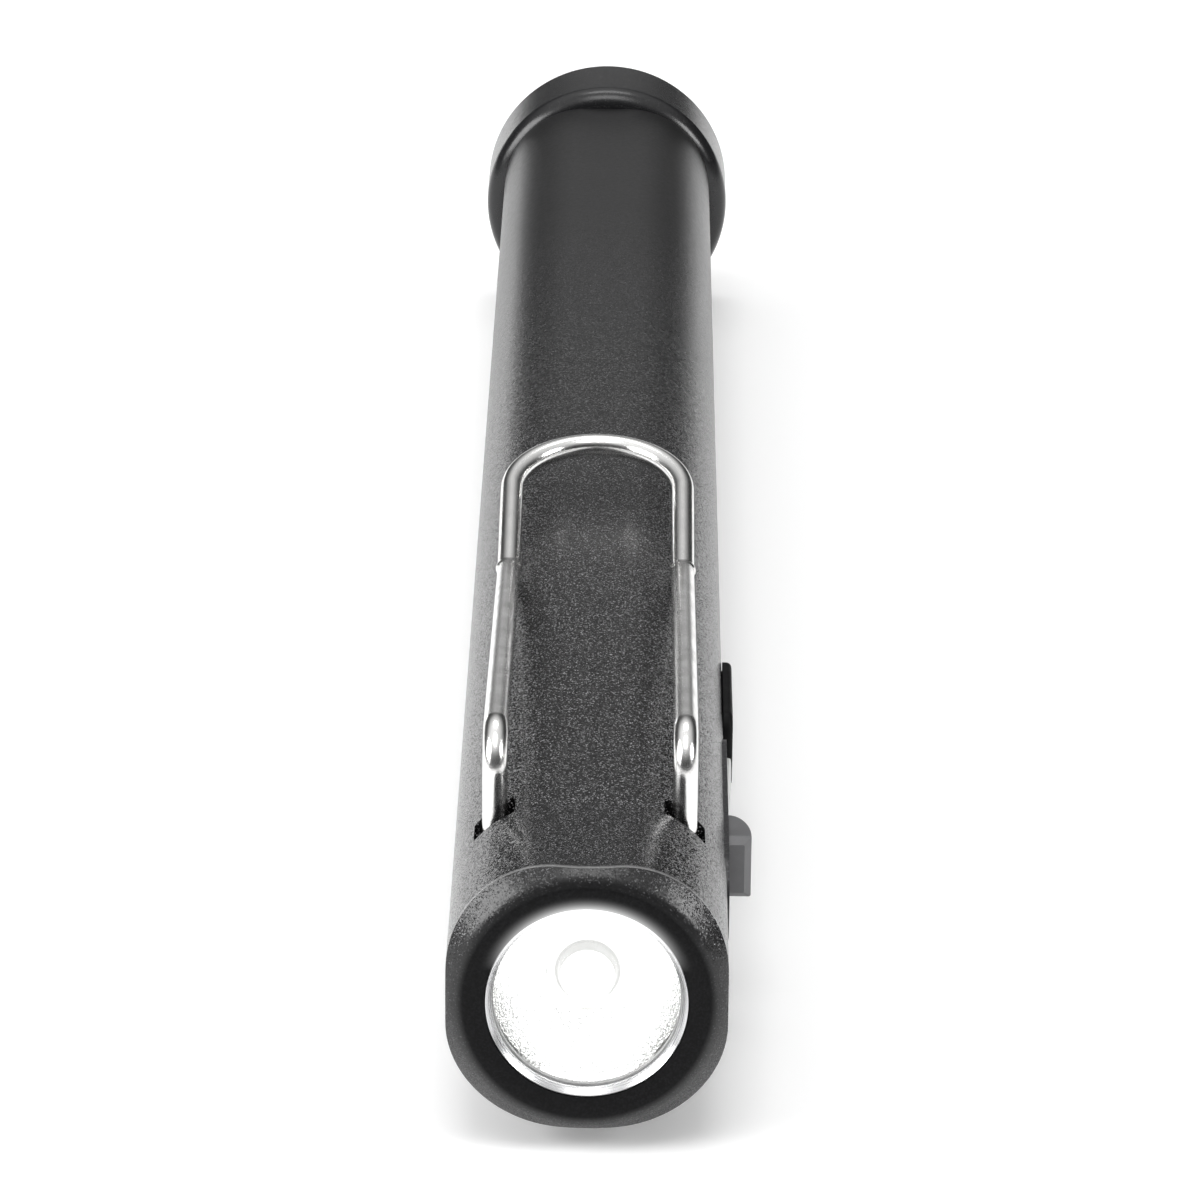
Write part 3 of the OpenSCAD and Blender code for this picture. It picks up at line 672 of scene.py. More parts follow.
@dataclass(frozen=True, kw_only=True)
class FacedAnodise(BlastedAnodise):
    """Blasted anodising round a black turned face, with a painted highlight on its chamfer's rim and a
    painted glow round its opening.

    The painted rim highlight, strongest above, is bounded along the chamfer's cone, by its distance from
    the axis and by its height.
    """

    face: float
    face_blend: float
    face_colour: Colour
    face_rough: float
    face_gloss: float
    plain_gloss: float = 0.5
    face_tilt: float = 0.6
    face_rings: float = 11.0
    face_drift: float = 0.06
    pitting: float = 9.0
    pitted: Range = (0.4, 0.8)
    pit_tone: float = 3.0
    # A glow painted on the face round the opening, strongest above it.
    opening: float
    halo: float
    halo_width: float = 0.8
    halo_start: float = 0.35
    chamfer: Range
    chamfer_grain: float = 0.18
    cone: float
    # Colour and share of a highlight painted on the chamfer's rim, strongest above.
    rim: Colour
    rim_highlight_share: float
    rim_run: Range = (0.1, 0.4)
    rim_out: Range = (0.35, 0.5)
    rim_rise: Range = (-2, 4)
    rim_least: float = 0.15

    def strength(self, paint: Paint) -> Socket:
        """Give how strong the grain is, finer on the chamfer."""
        return paint.ranged(paint.along(Axis.Y), self.chamfer, (self.chamfer_grain, 1))

    def inside(self, paint: Paint) -> Socket:
        """Give one on the turned face and nought round it."""
        return paint.ranged(paint.radius(), (self.face - self.face_blend, self.face), (1, 0))

    def lean(self, paint: Paint, tilt: Socket) -> Socket:
        """Give how far the steepest facets tip, less on the turned face."""
        return paint.combined(Sum.TIMES, tilt, paint.ranged(self.inside(paint), SHARE, (1, self.face_tilt)))

    def rim_highlight(self, paint: Paint) -> Socket:
        """Give where a highlight is painted on the rim of the chamfer: outside the face's rounding, and
        most above.

        Args:
            paint: the material.

        Returns:
            The share's socket.
        """
        radius = paint.radius()
        depth = paint.combined(Sum.LESS, paint.along(Axis.Y), radius)
        start = self.chamfer[0] - self.cone
        full, end = (start + run for run in self.rim_run)
        rim = paint.combined(
            Sum.TIMES,
            paint.ranged(depth, (start, full), SHARE),
            paint.ranged(depth, (full, end), (self.rim_highlight_share, 0)),
        )
        outer = paint.combined(
            Sum.TIMES,
            paint.ranged(radius, tuple(self.cone + out for out in self.rim_out), SHARE),
            paint.ranged(paint.along(Axis.Z), self.rim_rise, (self.rim_least, 1)),
        )
        return paint.combined(Sum.TIMES, rim, outer)

    def painted_halo(self, paint: Paint) -> Socket:
        """Give a glow painted on the face round the top of the opening, as a halo of the lit window.

        Args:
            paint: the material.

        Returns:
            The strength's socket.
        """
        near = paint.ranged(paint.radius(), (self.opening, self.opening + self.halo_width), (1, 0))
        rise = (self.halo_start * self.opening, self.opening)
        high = paint.ranged(paint.along(Axis.Z), rise, (0, self.halo))
        return paint.combined(Sum.TIMES, near, near, near, high)

    def sockets(self, paint: Paint) -> dict[str, object]:
        """Make the patterns of the blasted face and lay the turned face over them.

        Args:
            paint: an empty material.

        Returns:
            What goes into each of the shader's sockets.
        """
        made = super().sockets(paint)
        inside = self.inside(paint)
        outside = paint.ranged(inside, SHARE, (1, 0))
        rings = paint.noise(paint.turned_coords(), self.face_rings)
        pits = paint.ranged(paint.noise(paint.coords(), self.pitting), self.pitted, SHARE)
        black = paint.blended(pits, self.face_colour, shade(self.face_colour, self.pit_tone))
        # Painted highlight along the chamfer's rim, lighter above than on the sides and below.
        highlighted = paint.blended(self.rim_highlight(paint), made["Base Color"], self.rim)
        dull = paint.ranged(
            rings, CLOUD, (self.face_rough - self.face_drift, self.face_rough + self.face_drift)
        )
        made["Base Color"] = paint.blended(inside, highlighted, black)
        made["Roughness"] = paint.combined(
            Sum.PLUS,
            paint.combined(Sum.TIMES, made["Roughness"], outside),
            paint.combined(Sum.TIMES, dull, inside),
        )
        made["Specular IOR Level"] = paint.ranged(inside, SHARE, (self.plain_gloss, self.face_gloss))
        # Painted glow on the face just above the opening.
        made["Emission Strength"] = self.painted_halo(paint)
        made["Emission Color"] = paint.blended(rings, GLOW, WHITE)
        return made


@dataclass(frozen=True, kw_only=True)
class TurnedMetal(Finish):
    """Bare or plated metal with the fine rings of a lathe, with a glow painted on it above its middle where
    it says so.
    """

    pitch: float
    depth: float
    # Strength of a glow painted on the upper part, and the height over which it rises.
    lit: float = 0.0
    painted_glow_rise: Range = (1.5, 4)
    patch: float = 0.5
    patch_tone: float = 0.82
    drift: Range = (-0.05, 0.08)

    def sockets(self, paint: Paint) -> dict[str, object]:
        """Make the rings and the drifting tone.

        Args:
            paint: an empty material.

        Returns:
            What goes into each of the shader's sockets.
        """
        rings = paint.noise(paint.turned_coords(), 1 / self.pitch)
        made = {
            "Base Color": paint.clouded(
                paint.noise(paint.coords(), self.patch, RICH), self.patch_tone, self.colour
            ),
            "Roughness": self.roughness(paint, rings),
            "Normal": paint.bump(rings, self.depth),
            "Metallic": 1.0,
        }
        # Painted glow, rising towards the top.
        if self.lit:
            made["Emission Strength"] = paint.ranged(paint.along(Axis.Z), self.painted_glow_rise, (0, self.lit))
            made["Emission Color"] = paint.blended(rings, GLOW, WHITE)
        return made


@dataclass(frozen=True, kw_only=True)
class PlatedSteel(Finish):
    """Bright plating on drawn steel, with faint drawing lines and handling haze."""

    lines: Point = (9, 0.4, 9)
    line_depth: float = 0.004
    haze: float = 0.6
    hazed: Range = (0.35, 0.7)
    haze_tone: float = 0.88
    dulled: Range = (0.3, 0.75)

    def sockets(self, paint: Paint) -> dict[str, object]:
        """Make the drawing lines and the haze.

        Args:
            paint: an empty material.

        Returns:
            What goes into each of the shader's sockets.
        """
        haze = paint.noise(paint.coords(), self.haze, RICH)
        hazed = paint.ranged(haze, self.hazed, SHARE)
        return {
            "Base Color": paint.blended(hazed, self.colour, shade(self.colour, self.haze_tone)),
            "Roughness": self.roughness(paint, haze, self.dulled),
            "Normal": paint.bump(paint.noise(paint.coords(self.lines), 1.0, MIXED), self.line_depth),
            "Metallic": 1.0,
        }


@dataclass(frozen=True, kw_only=True)
class Moulded(Finish):
    """Moulded plastic or rubber with a fine texture and a little unevenness."""

    grain: float = 0.12
    depth: float = 0.006
    see_through: float = 0.0
    gloss: float = 0.5
    gloss_index: float = 1.48
    patch: float = 0.8
    patch_tone: float = 0.78
    drift: Range = (-0.05, 0.07)

    def sockets(self, paint: Paint) -> dict[str, object]:
        """Make the texture and the drifting tone.

        Args:
            paint: an empty material.

        Returns:
            What goes into each of the shader's sockets.
        """
        where = paint.coords()
        cloud = paint.noise(where, self.patch, RICH)
        return {
            "Base Color": paint.clouded(cloud, self.patch_tone, self.colour),
            "Roughness": self.roughness(paint, cloud),
            "Normal": paint.bump(paint.noise(where, 1 / self.grain), self.depth),
            "IOR": self.gloss_index,
            "Transmission Weight": self.see_through,
            "Specular IOR Level": self.gloss,
        }


@dataclass(frozen=True, kw_only=True)
class WindowGlass(Finish):
    """Clear window with a trace of haze."""

    haze: float = 0.9
    hazed: Range = (0.4, 0.8)
    wave: float = 0.4
    wave_depth: float = 0.002
    glass_index: float = 1.46
    drift: Range = (0.0, 0.04)

    def sockets(self, paint: Paint) -> dict[str, object]:
        """Make the haze and the faint waves.

        Args:
            paint: an empty material.

        Returns:
            What goes into each of the shader's sockets.
        """
        haze = paint.noise(paint.coords(), self.haze, RICH)
        return {
            "Base Color": paint.blended(haze, self.colour, WHITE),
            "Roughness": self.roughness(paint, haze, self.hazed),
            "Normal": paint.bump(paint.noise(paint.coords(), self.wave), self.wave_depth),
            "IOR": self.glass_index,
            "Transmission Weight": 1.0,
        }


@dataclass(frozen=True, kw_only=True)
class PaintedGlowPeel(Finish):
    """Plated orange-peel reflector with a glow painted on it in place of the emitter's reflection, dimmer
    low on its two sides.
    """

    glow: float
    dim: float
    peel: float
    dimpled: Range = (0.15, 0.6)
    dimple_tone: float = 0.45
    dimple_depth: float = 0.05
    rise: Range = (-4, 4)
    lower: Range = (1.4, -1.4)
    patch: float = 0.9
    dimmed: Range = (3.6, 5.2)
    drift: Range = (0.1, 0.0)

    def sockets(self, paint: Paint) -> dict[str, object]:
        """Make the dimples and the glow painted on them.

        Args:
            paint: an empty material.

        Returns:
            What goes into each of the shader's sockets.
        """
        dimples = paint.cells(paint.coords(), 1 / self.peel, Cells.DIMPLES, "Distance")
        hollow = paint.ranged(dimples, self.dimpled, (1, 0))
        tone = paint.blended(hollow, shade(self.colour, self.dimple_tone), self.colour)
        # Glow painted in place of the emitter's reflection, dimmed low on the two sides and along a soft
        # pattern; the dimples' hollows get a darker colour and less glow, as painted shade.
        side = paint.combined(
            Sum.PLUS,
            paint.unsigned(paint.along(Axis.X)),
            paint.ranged(paint.along(Axis.Z), self.rise, self.lower),
            paint.noise(paint.coords(), self.patch, MIXED),
        )
        return {
            "Base Color": tone,
            "Emission Color": tone,
            "Emission Strength": paint.ranged(side, self.dimmed, (self.glow, self.dim)),
            "Roughness": self.roughness(paint, hollow, SHARE),
            "Normal": paint.bump(dimples, self.dimple_depth),
            "Metallic": 1.0,
        }


@dataclass(frozen=True, kw_only=True)
class LitDome(Finish):
    """Clear dome over the emitter, glowing as a lamp, with a dimmer skirt where it meets its base and a
    glow painted on the package round it.
    """

    warm: Colour
    glow: float
    dim: float
    skirt: float
    skirt_end: float = 0.6
    seat: float
    rim: float
    rim_width: float = 0.12
    # Strength of a glow painted on the package round the dome.
    painted_base_glow: float = 1.6
    grain: float = 2.5
    warm_tone: float = 0.06
    body_tone: float = 0.1

    def sockets(self, paint: Paint) -> dict[str, object]:
        """Make the glow of the dome, its skirt and its base.

        Args:
            paint: an empty material.

        Returns:
            What goes into each of the shader's sockets.
        """
        grain = paint.noise(paint.coords(), self.grain, MIXED)
        skirt = (self.seat - self.skirt, self.seat - self.skirt_end * self.skirt)
        dome = paint.ranged(paint.along(Axis.Y), skirt, (self.glow, self.dim))
        rim = (self.rim, self.rim + self.rim_width)
        # Painted glow on the package outside the dome's rim.
        base = paint.ranged(paint.radius(), rim, (self.dim, self.painted_base_glow))
        dark = shade(self.warm, self.warm_tone), shade(self.colour, self.body_tone)
        return {
            "Base Color": paint.blended(grain, *dark),
            "Emission Color": paint.blended(grain, self.warm, self.colour),
            "Roughness": self.roughness(paint, grain),
            "Emission Strength": paint.combined(Sum.MOST, dome, base),
        }


@dataclass(frozen=True, kw_only=True)
class SolderMask(Finish):
    """Lacquered circuit board with traces under the lacquer and bare pads."""

    pad: Colour
    flat: Point = (1, 1, 0.05)
    runs: float = 1.3
    run_edge: Range = (0.05, 0.08)
    run_tone: float = 1.5
    run_depth: float = 0.02
    dots: float = 0.7
    dot_edge: Range = (0.16, 0.2)
    drift: Range = (0.0, 0.12)

    def sockets(self, paint: Paint) -> dict[str, object]:
        """Make the traces and the pads.

        Args:
            paint: an empty material.

        Returns:
            What goes into each of the shader's sockets.
        """
        where = paint.coords(self.flat)
        runs = paint.cells(where, self.runs, Cells.BORDERS, "Distance")
        dots = paint.cells(where, self.dots, Cells.GRAINS, "Distance")
        trace = paint.ranged(runs, self.run_edge, (1, 0))
        pad = paint.ranged(dots, self.dot_edge, (1, 0))
        traced = paint.blended(trace, self.colour, shade(self.colour, self.run_tone))
        return {
            "Base Color": paint.blended(pad, traced, self.pad),
            "Metallic": pad,
            "Roughness": self.roughness(paint, trace, SHARE),
            "Normal": paint.bump(trace, self.run_depth),
        }


DARK: Colour = (0.009, 0.009, 0.0095)
HEAD_FRONT = span("head_shell")[0].y
ANODISED = BlastedAnodise(
    "blasted_anodise", DARK, 0.33, front_rough=0.2, glint_fleck=(0.38, 0.38, 0.39), grain=0.06, tilt=0.62
)
# The rim colour and its share paint a highlight on the chamfer's rim, and the halo paints a glow round the
# opening.
HEAD_ANODISE = FacedAnodise(
    "head_anodise", DARK, 0.33, front_rough=0.18, glint_fleck=(0.22, 0.22, 0.23), grain=0.058, tilt=0.6,
    face=6.5, face_blend=0.35, face_colour=(0.003, 0.003, 0.0033), face_rough=0.5,
    face_gloss=0.12, opening=5.05, halo=0.8, chamfer=(HEAD_FRONT, HEAD_FRONT + 2.0), cone=6.42,
    rim=(0.42, 0.42, 0.42), rim_highlight_share=0.5,
)
PLATE_ANODISE = BlastedAnodise(
    "plate_anodise", (0.026, 0.026, 0.028), 0.3, front_rough=0.3, glint_fleck=(0.08, 0.08, 0.09), grain=0.1,
    tilt=0.12, tail_tilt=0.12,
)
TAIL_ANODISE = BlastedAnodise(
    "tail_anodise", (0.011, 0.011, 0.012), 0.24, front_rough=0.24, glint_fleck=(0.03, 0.03, 0.03), grain=0.1,
    tilt=0.04, tail_tilt=0.02,
)
# The ring has a glow painted on its upper part.
RING_METAL = TurnedMetal("turned_ring", (0.70, 0.70, 0.71), 0.26, pitch=0.05, depth=0.006, lit=0.9)
CLIP_PLATING = PlatedSteel("clip_plating", (0.86, 0.855, 0.845), 0.17)
BUTTON_PLASTIC = Moulded("button_moulded", (0.16, 0.16, 0.165), 0.36)
COVER_RUBBER = Moulded("rubber_satin", (0.006, 0.006, 0.0065), 0.5, grain=0.1, depth=0.008, gloss=0.1)
FROSTED = Moulded("lens_frosted", (0.82, 0.83, 0.82), 0.34, grain=0.2, depth=0.004, see_through=0.35)
GLASS = WindowGlass("window_clear", (0.96, 0.98, 0.98), 0.01)
# The reflector's brightness is a painted glow in place of the emitter's reflection.
PEEL = PaintedGlowPeel("lit_reflector", (0.93, 0.93, 0.92), 0.22, glow=1.6, dim=0.12, peel=0.1)
DOME = LitDome(
    "emitter_glow", (1.0, 1.0, 0.98), 0.1, warm=(1.0, 0.99, 0.97), glow=9.0, dim=0.66, skirt=0.8,
    seat=span("led_spacer")[0].y, rim=1.44,
)

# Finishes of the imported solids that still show, by their own name or their slot's.
NODE_FINISHES: dict[str, Finish] = {
    "lens_gasket": Moulded("gasket_silicone", (0.42, 0.42, 0.42), 0.4),
    "black_rubber": COVER_RUBBER,
    "window_glass": GLASS,
    "white_plastic": Moulded("moulded_white", (0.72, 0.72, 0.70), 0.45),
    "lit_emitter": DOME,
    "bare_aluminium": TurnedMetal("turned_aluminium", (0.70, 0.70, 0.71), 0.34, pitch=0.08, depth=0.008),
    "lead_jacket": Moulded("lead_coat", (0.30, 0.03, 0.03), 0.5),
    "black_plastic": Moulded("moulded_black", (0.018, 0.018, 0.02), 0.42),
    "spring_steel": PlatedSteel("sprung_steel", (0.55, 0.54, 0.52), 0.22),
    "green_board": SolderMask("board_lacquer", (0.012, 0.075, 0.03), 0.28, pad=(0.75, 0.62, 0.30)),
    "carrier_plastic": Moulded("carrier_moulded", (0.06, 0.06, 0.065), 0.5),
    "diode_plastic": Moulded("diode_body", (0.75, 0.72, 0.55), 0.3),
    "socket_steel": PlatedSteel("socket_plating", (0.60, 0.60, 0.59), 0.2),
    "contact_brass": TurnedMetal("brass_contact", (0.72, 0.52, 0.22), 0.28, pitch=0.07, depth=0.006),
    "cell_can": TurnedMetal("can_nickel", (0.58, 0.58, 0.57), 0.26, pitch=0.1, depth=0.004),
    "cell_wrap": Moulded("wrap_film", (0.03, 0.07, 0.16), 0.32, grain=0.4, depth=0.01),
    "washer_paper": Moulded("washer_fibre", (0.62, 0.58, 0.48), 0.75, grain=0.15, depth=0.01),
}


@dataclass
class Casing:
    """Head and barrel: a rounded square tube with a turned front edge.

    Cutting forms run past what they cut, and a band is how near an edge has to lie to count.
    """

    flat: float = 2.8
    wall: float = 1.4
    face_inset: float = 0.58
    face_width: float = 1.35
    cone_reach: float = 1.5
    spigot_wall: float = 0.95
    spigot_lap: float = 0.3
    fit: float = 0.05
    gap: float = 0.1
    past: float = 1.0
    clip_room: float = 0.12
    clip_side: float = 0.4
    clip_back: float = 2.05
    light_hole: float = 1.1
    port_corner: float = 1.2
    strap_seat: float = 0.75
    strap_stem: float = 0.6
    edge: float = 0.2
    edge_band: float = 0.3
    edge_steps: int = 3
    face_round: float = 0.5
    face_band: float = 0.1
    face_steps: int = 6
    corner_steps: int = 28
    plate_steps: int = 16
    port_steps: int = 12

    def __post_init__(self) -> None:
        """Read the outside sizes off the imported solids."""
        head, barrel = span("head_shell"), span("barrel")
        self.side = barrel[1].x
        self.front, self.spigot_end = head[0].y, head[1].y
        self.seam, self.back = barrel[0].y, barrel[1].y
        self.bore = self.side - self.wall
        self.face = self.side - self.face_inset
        self.sink = span("heat_sink")[0].y

    def bar(self, start: float, end: float) -> Form:
        """Make the rounded square bar between two places on the axis."""
        half, corner = self.side, self.side - self.flat / 2
        return Form.slab((-half, start, -half), (half, end, half), corner, Axis.Y, self.corner_steps)

    def clip_pockets(self) -> list[Form]:
        """Make the two pockets that the clip's feet go into.

        Returns:
            An upright and a toe room for each side.
        """
        low, high = span("clip_wire")
        wire = high.x - PocketClip.leg
        floor, top = low.z - self.clip_room, low.z + 2 * wire + self.clip_room
        out, inner = high.x + self.clip_side, PocketClip.leg - wire - self.clip_side
        toe = PocketClip.leg - PocketClip.foot - self.clip_room
        start, end = self.seam - NEAR, self.seam + self.clip_back
        pockets = []
        for side in (-1, 1):
            for near, height in ((inner, 2 * self.side), (toe, top)):
                across = sorted((side * near, side * out))
                pockets.append(Form.block((across[0], start, floor), (across[1], end, height)))
        return pockets

    def head(self) -> None:
        """Build the head with its turned chamfer, window and spigot."""
        face, front, far = self.face, self.front, self.cone_reach * self.side
        profile = [(0, front), (face, front), (far, front + far - face), (far, 0), (0, 0)]
        cone = Form.lathe(profile, Facets.FACE)
        form = self.bar(front - self.past, self.seam).joined(Join.SHARED, [cone])
        spigot, before = self.bore - self.fit, front - 2 * self.past
        form.joined(Join.ADD, [Form.rod(spigot, self.seam - self.spigot_lap, self.spigot_end)])
        window = Form.rod(face - self.face_width, before, self.sink)
        bore = Form.rod(spigot - self.spigot_wall, before, self.spigot_end + 2 * self.past, Facets.BORE)
        form.joined(Join.CUT, [window, bore, *self.clip_pockets()])
        form.soften(self.edge, self.edge_steps, self.crisp)
        form.soften(self.face_round, self.face_steps, self.on_rim)
        form.piece("head_casing", Body.LIGHT, "anodised_body", HEAD_ANODISE, ["head_shell"])

    def on_rim(self, edge: Edge) -> bool:
        """Tell whether an edge is the folded outer rim of the face."""
        folded = Form.folded(edge, Fold.SHALLOW) and abs(Form.middle(edge).y - self.front) < NEAR
        return folded and Form.reach(edge) > self.face - self.face_band

    def crisp(self, edge: Edge) -> bool:
        """Tell whether a folded edge of the head is a crisp one: not the face's rim, not on the spigot."""
        ahead = Form.middle(edge).y < self.seam + 10 * NEAR
        return ahead and Form.folded(edge, Fold.SHALLOW) and not self.on_rim(edge)

    @staticmethod
    def opening(box: Box, room: float, start: float, end: float) -> tuple[Point, Point]:
        """Give the corners of a side opening round a solid's box."""
        low, high = box
        return (start, low.y - room, low.z - room), (end, high.y + room, high.z + room)

    def barrel(self) -> None:
        """Build the barrel with its bore, clip pockets and side openings."""
        form = self.bar(self.seam, self.back)
        plate, pipe, strap = span("switch_plate"), span("indicator_lens"), span("cover_strap")
        through = self.bore - self.past, self.side + self.past
        reach, gap = through[1], self.gap
        ends = (plate[1].z - plate[0].z) / 2
        recess = self.opening(plate, self.fit, plate[0].x, reach)
        port = self.opening(span("usb_shell"), 2 * gap, *through)
        light_mid, strap_mid = ((low.y + high.y) / 2 for low, high in (pipe, strap))
        seat = self.side - self.strap_seat, span("port_cover")[1].y - self.strap_seat, strap[0].z - gap
        form.joined(
            Join.CUT,
            [
                Form.rod(self.bore, self.seam - 2 * self.past, self.back + 2 * self.past),
                *self.clip_pockets(),
                Form.slab(*recess, ends, Axis.X, self.plate_steps),
                Form.block(*self.opening(span("switch_button"), gap, *through)),
                Form.rod(self.light_hole, *through, Facets.HOLE).across(light_mid),
                Form.slab(*port, self.port_corner, Axis.X, self.port_steps),
                Form.block(seat, (reach, strap[1].y + gap, strap[1].z + gap)),
                Form.rod(self.strap_stem, *through, Facets.STUD).across(strap_mid),
            ],
        )
        form.soften(self.edge, self.edge_steps, self.outer)
        form.piece("barrel_tube", Body.LIGHT, "anodised_body", ANODISED, ["barrel"])

    def outer(self, edge: Edge) -> bool:
        """Tell whether a folded edge lies on the outside or at an end of the barrel."""
        at_end = min(abs(Form.middle(edge).y - end) for end in (self.seam, self.back)) < NEAR
        return (at_end or Form.reach(edge) > self.side - self.edge_band) and Form.folded(edge, Fold.SHALLOW)

    def build(self) -> None:
        """Build both pieces of the casing."""
        self.head()
        self.barrel()


@dataclass
class Optics:
    """Bezel ring, window, reflector and lit emitter in the front opening."""

    bevel: float = 0.3
    bevel_edge: float = 0.03
    mouth: float = 4.65
    hole: float = 1.85
    rim: float = 0.5
    edge: float = 0.05
    bowl_steps: int = 10
    dome_sink: float = 0.1
    package_edge: float = 0.1
    dome_rings: int = 32
    dome_sides: int = 48

    def ring(self) -> None:
        """Build the bevelled ring that holds the window."""
        low, high = span("lens_ring")
        outer, inner = high.x, high.x - self.bevel
        form = Form.lathe([(outer, low.y), (inner, (low.y + high.y) / 2), (inner, high.y), (outer, high.y)])
        form.soften_folds(self.bevel_edge, Fold.SLIGHT)
        form.piece("bezel_ring", Body.LIGHT, "bare_ring", RING_METAL, ["lens_ring"])

    def window(self) -> None:
        """Build the clear window with its ground edge."""
        low, high = span("lens")
        form = Form.rod(high.x, low.y, high.y).soften_folds(self.edge)
        form.piece("window_disc", Body.LIGHT, "window_glass", GLASS, ["lens"])

    def reflector(self) -> None:
        """Build the bowl of the reflector."""
        low, high = span("reflector")
        deep = high.y - low.y
        bowl = []
        for step in range(self.bowl_steps + 1):
            radius = self.mouth + (self.hole - self.mouth) * step / self.bowl_steps
            rise = (radius ** 2 - self.hole ** 2) / (self.mouth ** 2 - self.hole ** 2)
            bowl.append((radius, high.y - deep * rise))
        foot = (self.hole + high.x) / 2 - self.rim / 2
        form = Form.lathe([*bowl, (foot, high.y), (high.x, low.y + self.rim), (high.x, low.y)])
        form.piece("reflector_bowl", Body.LIGHT, "bright_reflector", PEEL, ["reflector"])

    def emitter(self) -> None:
        """Build the emitter's package with its dome."""
        low, high = span("led_emitter")
        seat = span("led_spacer")[0].y
        dome = Form()
        bmesh.ops.create_uvsphere(
            dome.bm, u_segments=self.dome_sides, v_segments=self.dome_rings, radius=seat - low.y
        )
        dome.moved((0, seat, 0)).sliced((0, seat + self.dome_sink, 0), (0, 1, 0))
        form = Form.block((low.x, seat, low.z), high).soften_folds(self.package_edge)
        form.with_shell(dome)
        form.piece("emitter_dome", Body.LIGHT, "lit_emitter", DOME, ["led_emitter"])

    def build(self) -> None:
        """Build the optics from the front backwards."""
        self.ring()
        self.window()
        self.reflector()
        self.emitter()


@dataclass
class PocketClip:
    """Clip bent from one length of round wire."""

    leg: float = 4.8
    foot: float = 1.3
    toe_bend: float = 0.75
    toe_steps: int = 8
    crest_bend: float = 1.9
    crest_steps: int = 18
    run: float = 33.3
    drop: float = 3.375
    kink: float = 2.0
    kink_steps: int = 8
    flare: float = 12.6
    flare_run: float = 8.4
    loop_steps: int = 28
    crimp: float = 1.14
    crimp_from: int = 2
    crimp_shares: tuple[float, ...] = (0.6, 1.0, 1.0, 0.6)
    sides: int = 28
    crease: float = 50.0

    def build(self) -> None:
        """Bend one half of the wire from its toe to the loop and mirror it."""
        low, high = span("clip_wire")
        wire = high.x - self.leg
        toe = Vector((self.leg - self.foot, low.y + wire, low.z + wire))
        fall = math.atan2(self.drop, self.run)
        rise = math.radians(self.flare)
        crest_turn, kink_turn = math.pi / 2 + fall, rise + fall
        crest_cut = self.crest_bend * math.tan(crest_turn / 2)
        kink_cut = self.kink * math.tan(kink_turn / 2)
        crest = Vector((self.leg, toe.y, high.z - wire - self.crest_bend + crest_cut))
        pinch = crest + Vector((0, self.run, -self.drop))
        down = Vector((0, math.cos(fall), -math.sin(fall)))
        up = Vector((0, math.cos(rise), math.sin(rise)))
        form = Form()
        made = bmesh.ops.create_circle(
            form.bm, cap_ends=True, segments=self.sides, radius=wire,
            matrix=Matrix.Translation(toe) @ Matrix.Rotation(math.pi / 2, 4, "Y"),
        )
        rim = list(dict.fromkeys(edge for vert in made["verts"] for edge in vert.link_edges))

        rim = self.straight(form, rim, Vector((self.foot - self.toe_bend, 0, 0)))
        at = toe + Vector((self.foot - self.toe_bend, 0, self.toe_bend))
        rim, _ = self.bent(form, rim, at, Vector((0, -1, 0)), math.pi / 2, self.toe_steps)
        climb = crest.z - crest_cut - at.z
        rim = self.straight(form, rim, Vector((0, 0, climb)))
        at = Vector((self.leg, crest.y + self.crest_bend, crest.z - crest_cut))
        rim, _ = self.bent(form, rim, at, Vector((-1, 0, 0)), crest_turn, self.crest_steps)
        reach = math.hypot(self.run, self.drop) - crest_cut - kink_cut
        rim = self.straight(form, rim, down * reach)
        at = pinch - down * kink_cut + self.kink * Vector((0, math.sin(fall), math.cos(fall)))
        rim, rings = self.bent(form, rim, at, Vector((1, 0, 0)), kink_turn, self.kink_steps)
        for ring, share in zip(rings[self.crimp_from:], self.crimp_shares):
            widen = (1 + (self.crimp - 1) * share, 1, 1)
            bmesh.ops.scale(form.bm, vec=widen, space=Matrix.Translation((-self.leg, 0, 0)), verts=ring)
        rim = self.straight(form, rim, up * (self.flare_run - kink_cut))
        at = pinch + up * self.flare_run - Vector((self.leg, 0, 0))
        upright = Vector((0, -math.sin(rise), math.cos(rise)))
        self.bent(form, rim, at, upright, math.pi / 2, self.loop_steps)

        geom = [*form.bm.verts, *form.bm.edges, *form.bm.faces]
        bmesh.ops.mirror(form.bm, geom=geom, matrix=Matrix.Identity(4), merge_dist=NEAR, axis="X")
        form.closed()
        form.piece("clip_bent_wire", Body.CLIP, "plated_wire", CLIP_PLATING, ["clip_wire"], self.crease)

    @staticmethod
    def straight(form: Form, rim: list[Edge], by: Vector) -> list[Edge]:
        """Draw the wire on in a straight line.

        Args:
            form: the wire so far.
            rim: its open end.
            by: direction and length.

        Returns:
            The new open end.
        """
        made = bmesh.ops.extrude_edge_only(form.bm, edges=rim)["geom"]
        ends = Form.only(made, Vert)
        bmesh.ops.translate(form.bm, vec=by, verts=ends)
        return [edge for edge in Form.only(made, Edge) if set(edge.verts) <= set(ends)]

    @staticmethod
    def bent(
        form: Form, rim: list[Edge], about: Vector, axis: Vector, turn: float, steps: int
    ) -> tuple[list[Edge], list[list[Vert]]]:
        """Draw the wire on round a bend.

        Args:
            form: the wire so far.
            rim: its open end.
            about: centre of the bend.
            axis: axis of the bend.
            turn: angle in radians.
            steps: rings along the bend.

        Returns:
            The new open end and the rings of points along the bend.
        """
        rings = []
        for _ in range(steps):
            made = bmesh.ops.spin(
                form.bm, geom=rim, cent=about, axis=axis, dvec=(0, 0, 0), angle=turn / steps, steps=1,
                use_merge=False, use_duplicate=False,
            )["geom_last"]
            rim = Form.only(made, Edge)
            rings.append(Form.only(made, Vert))
        return rim, rings


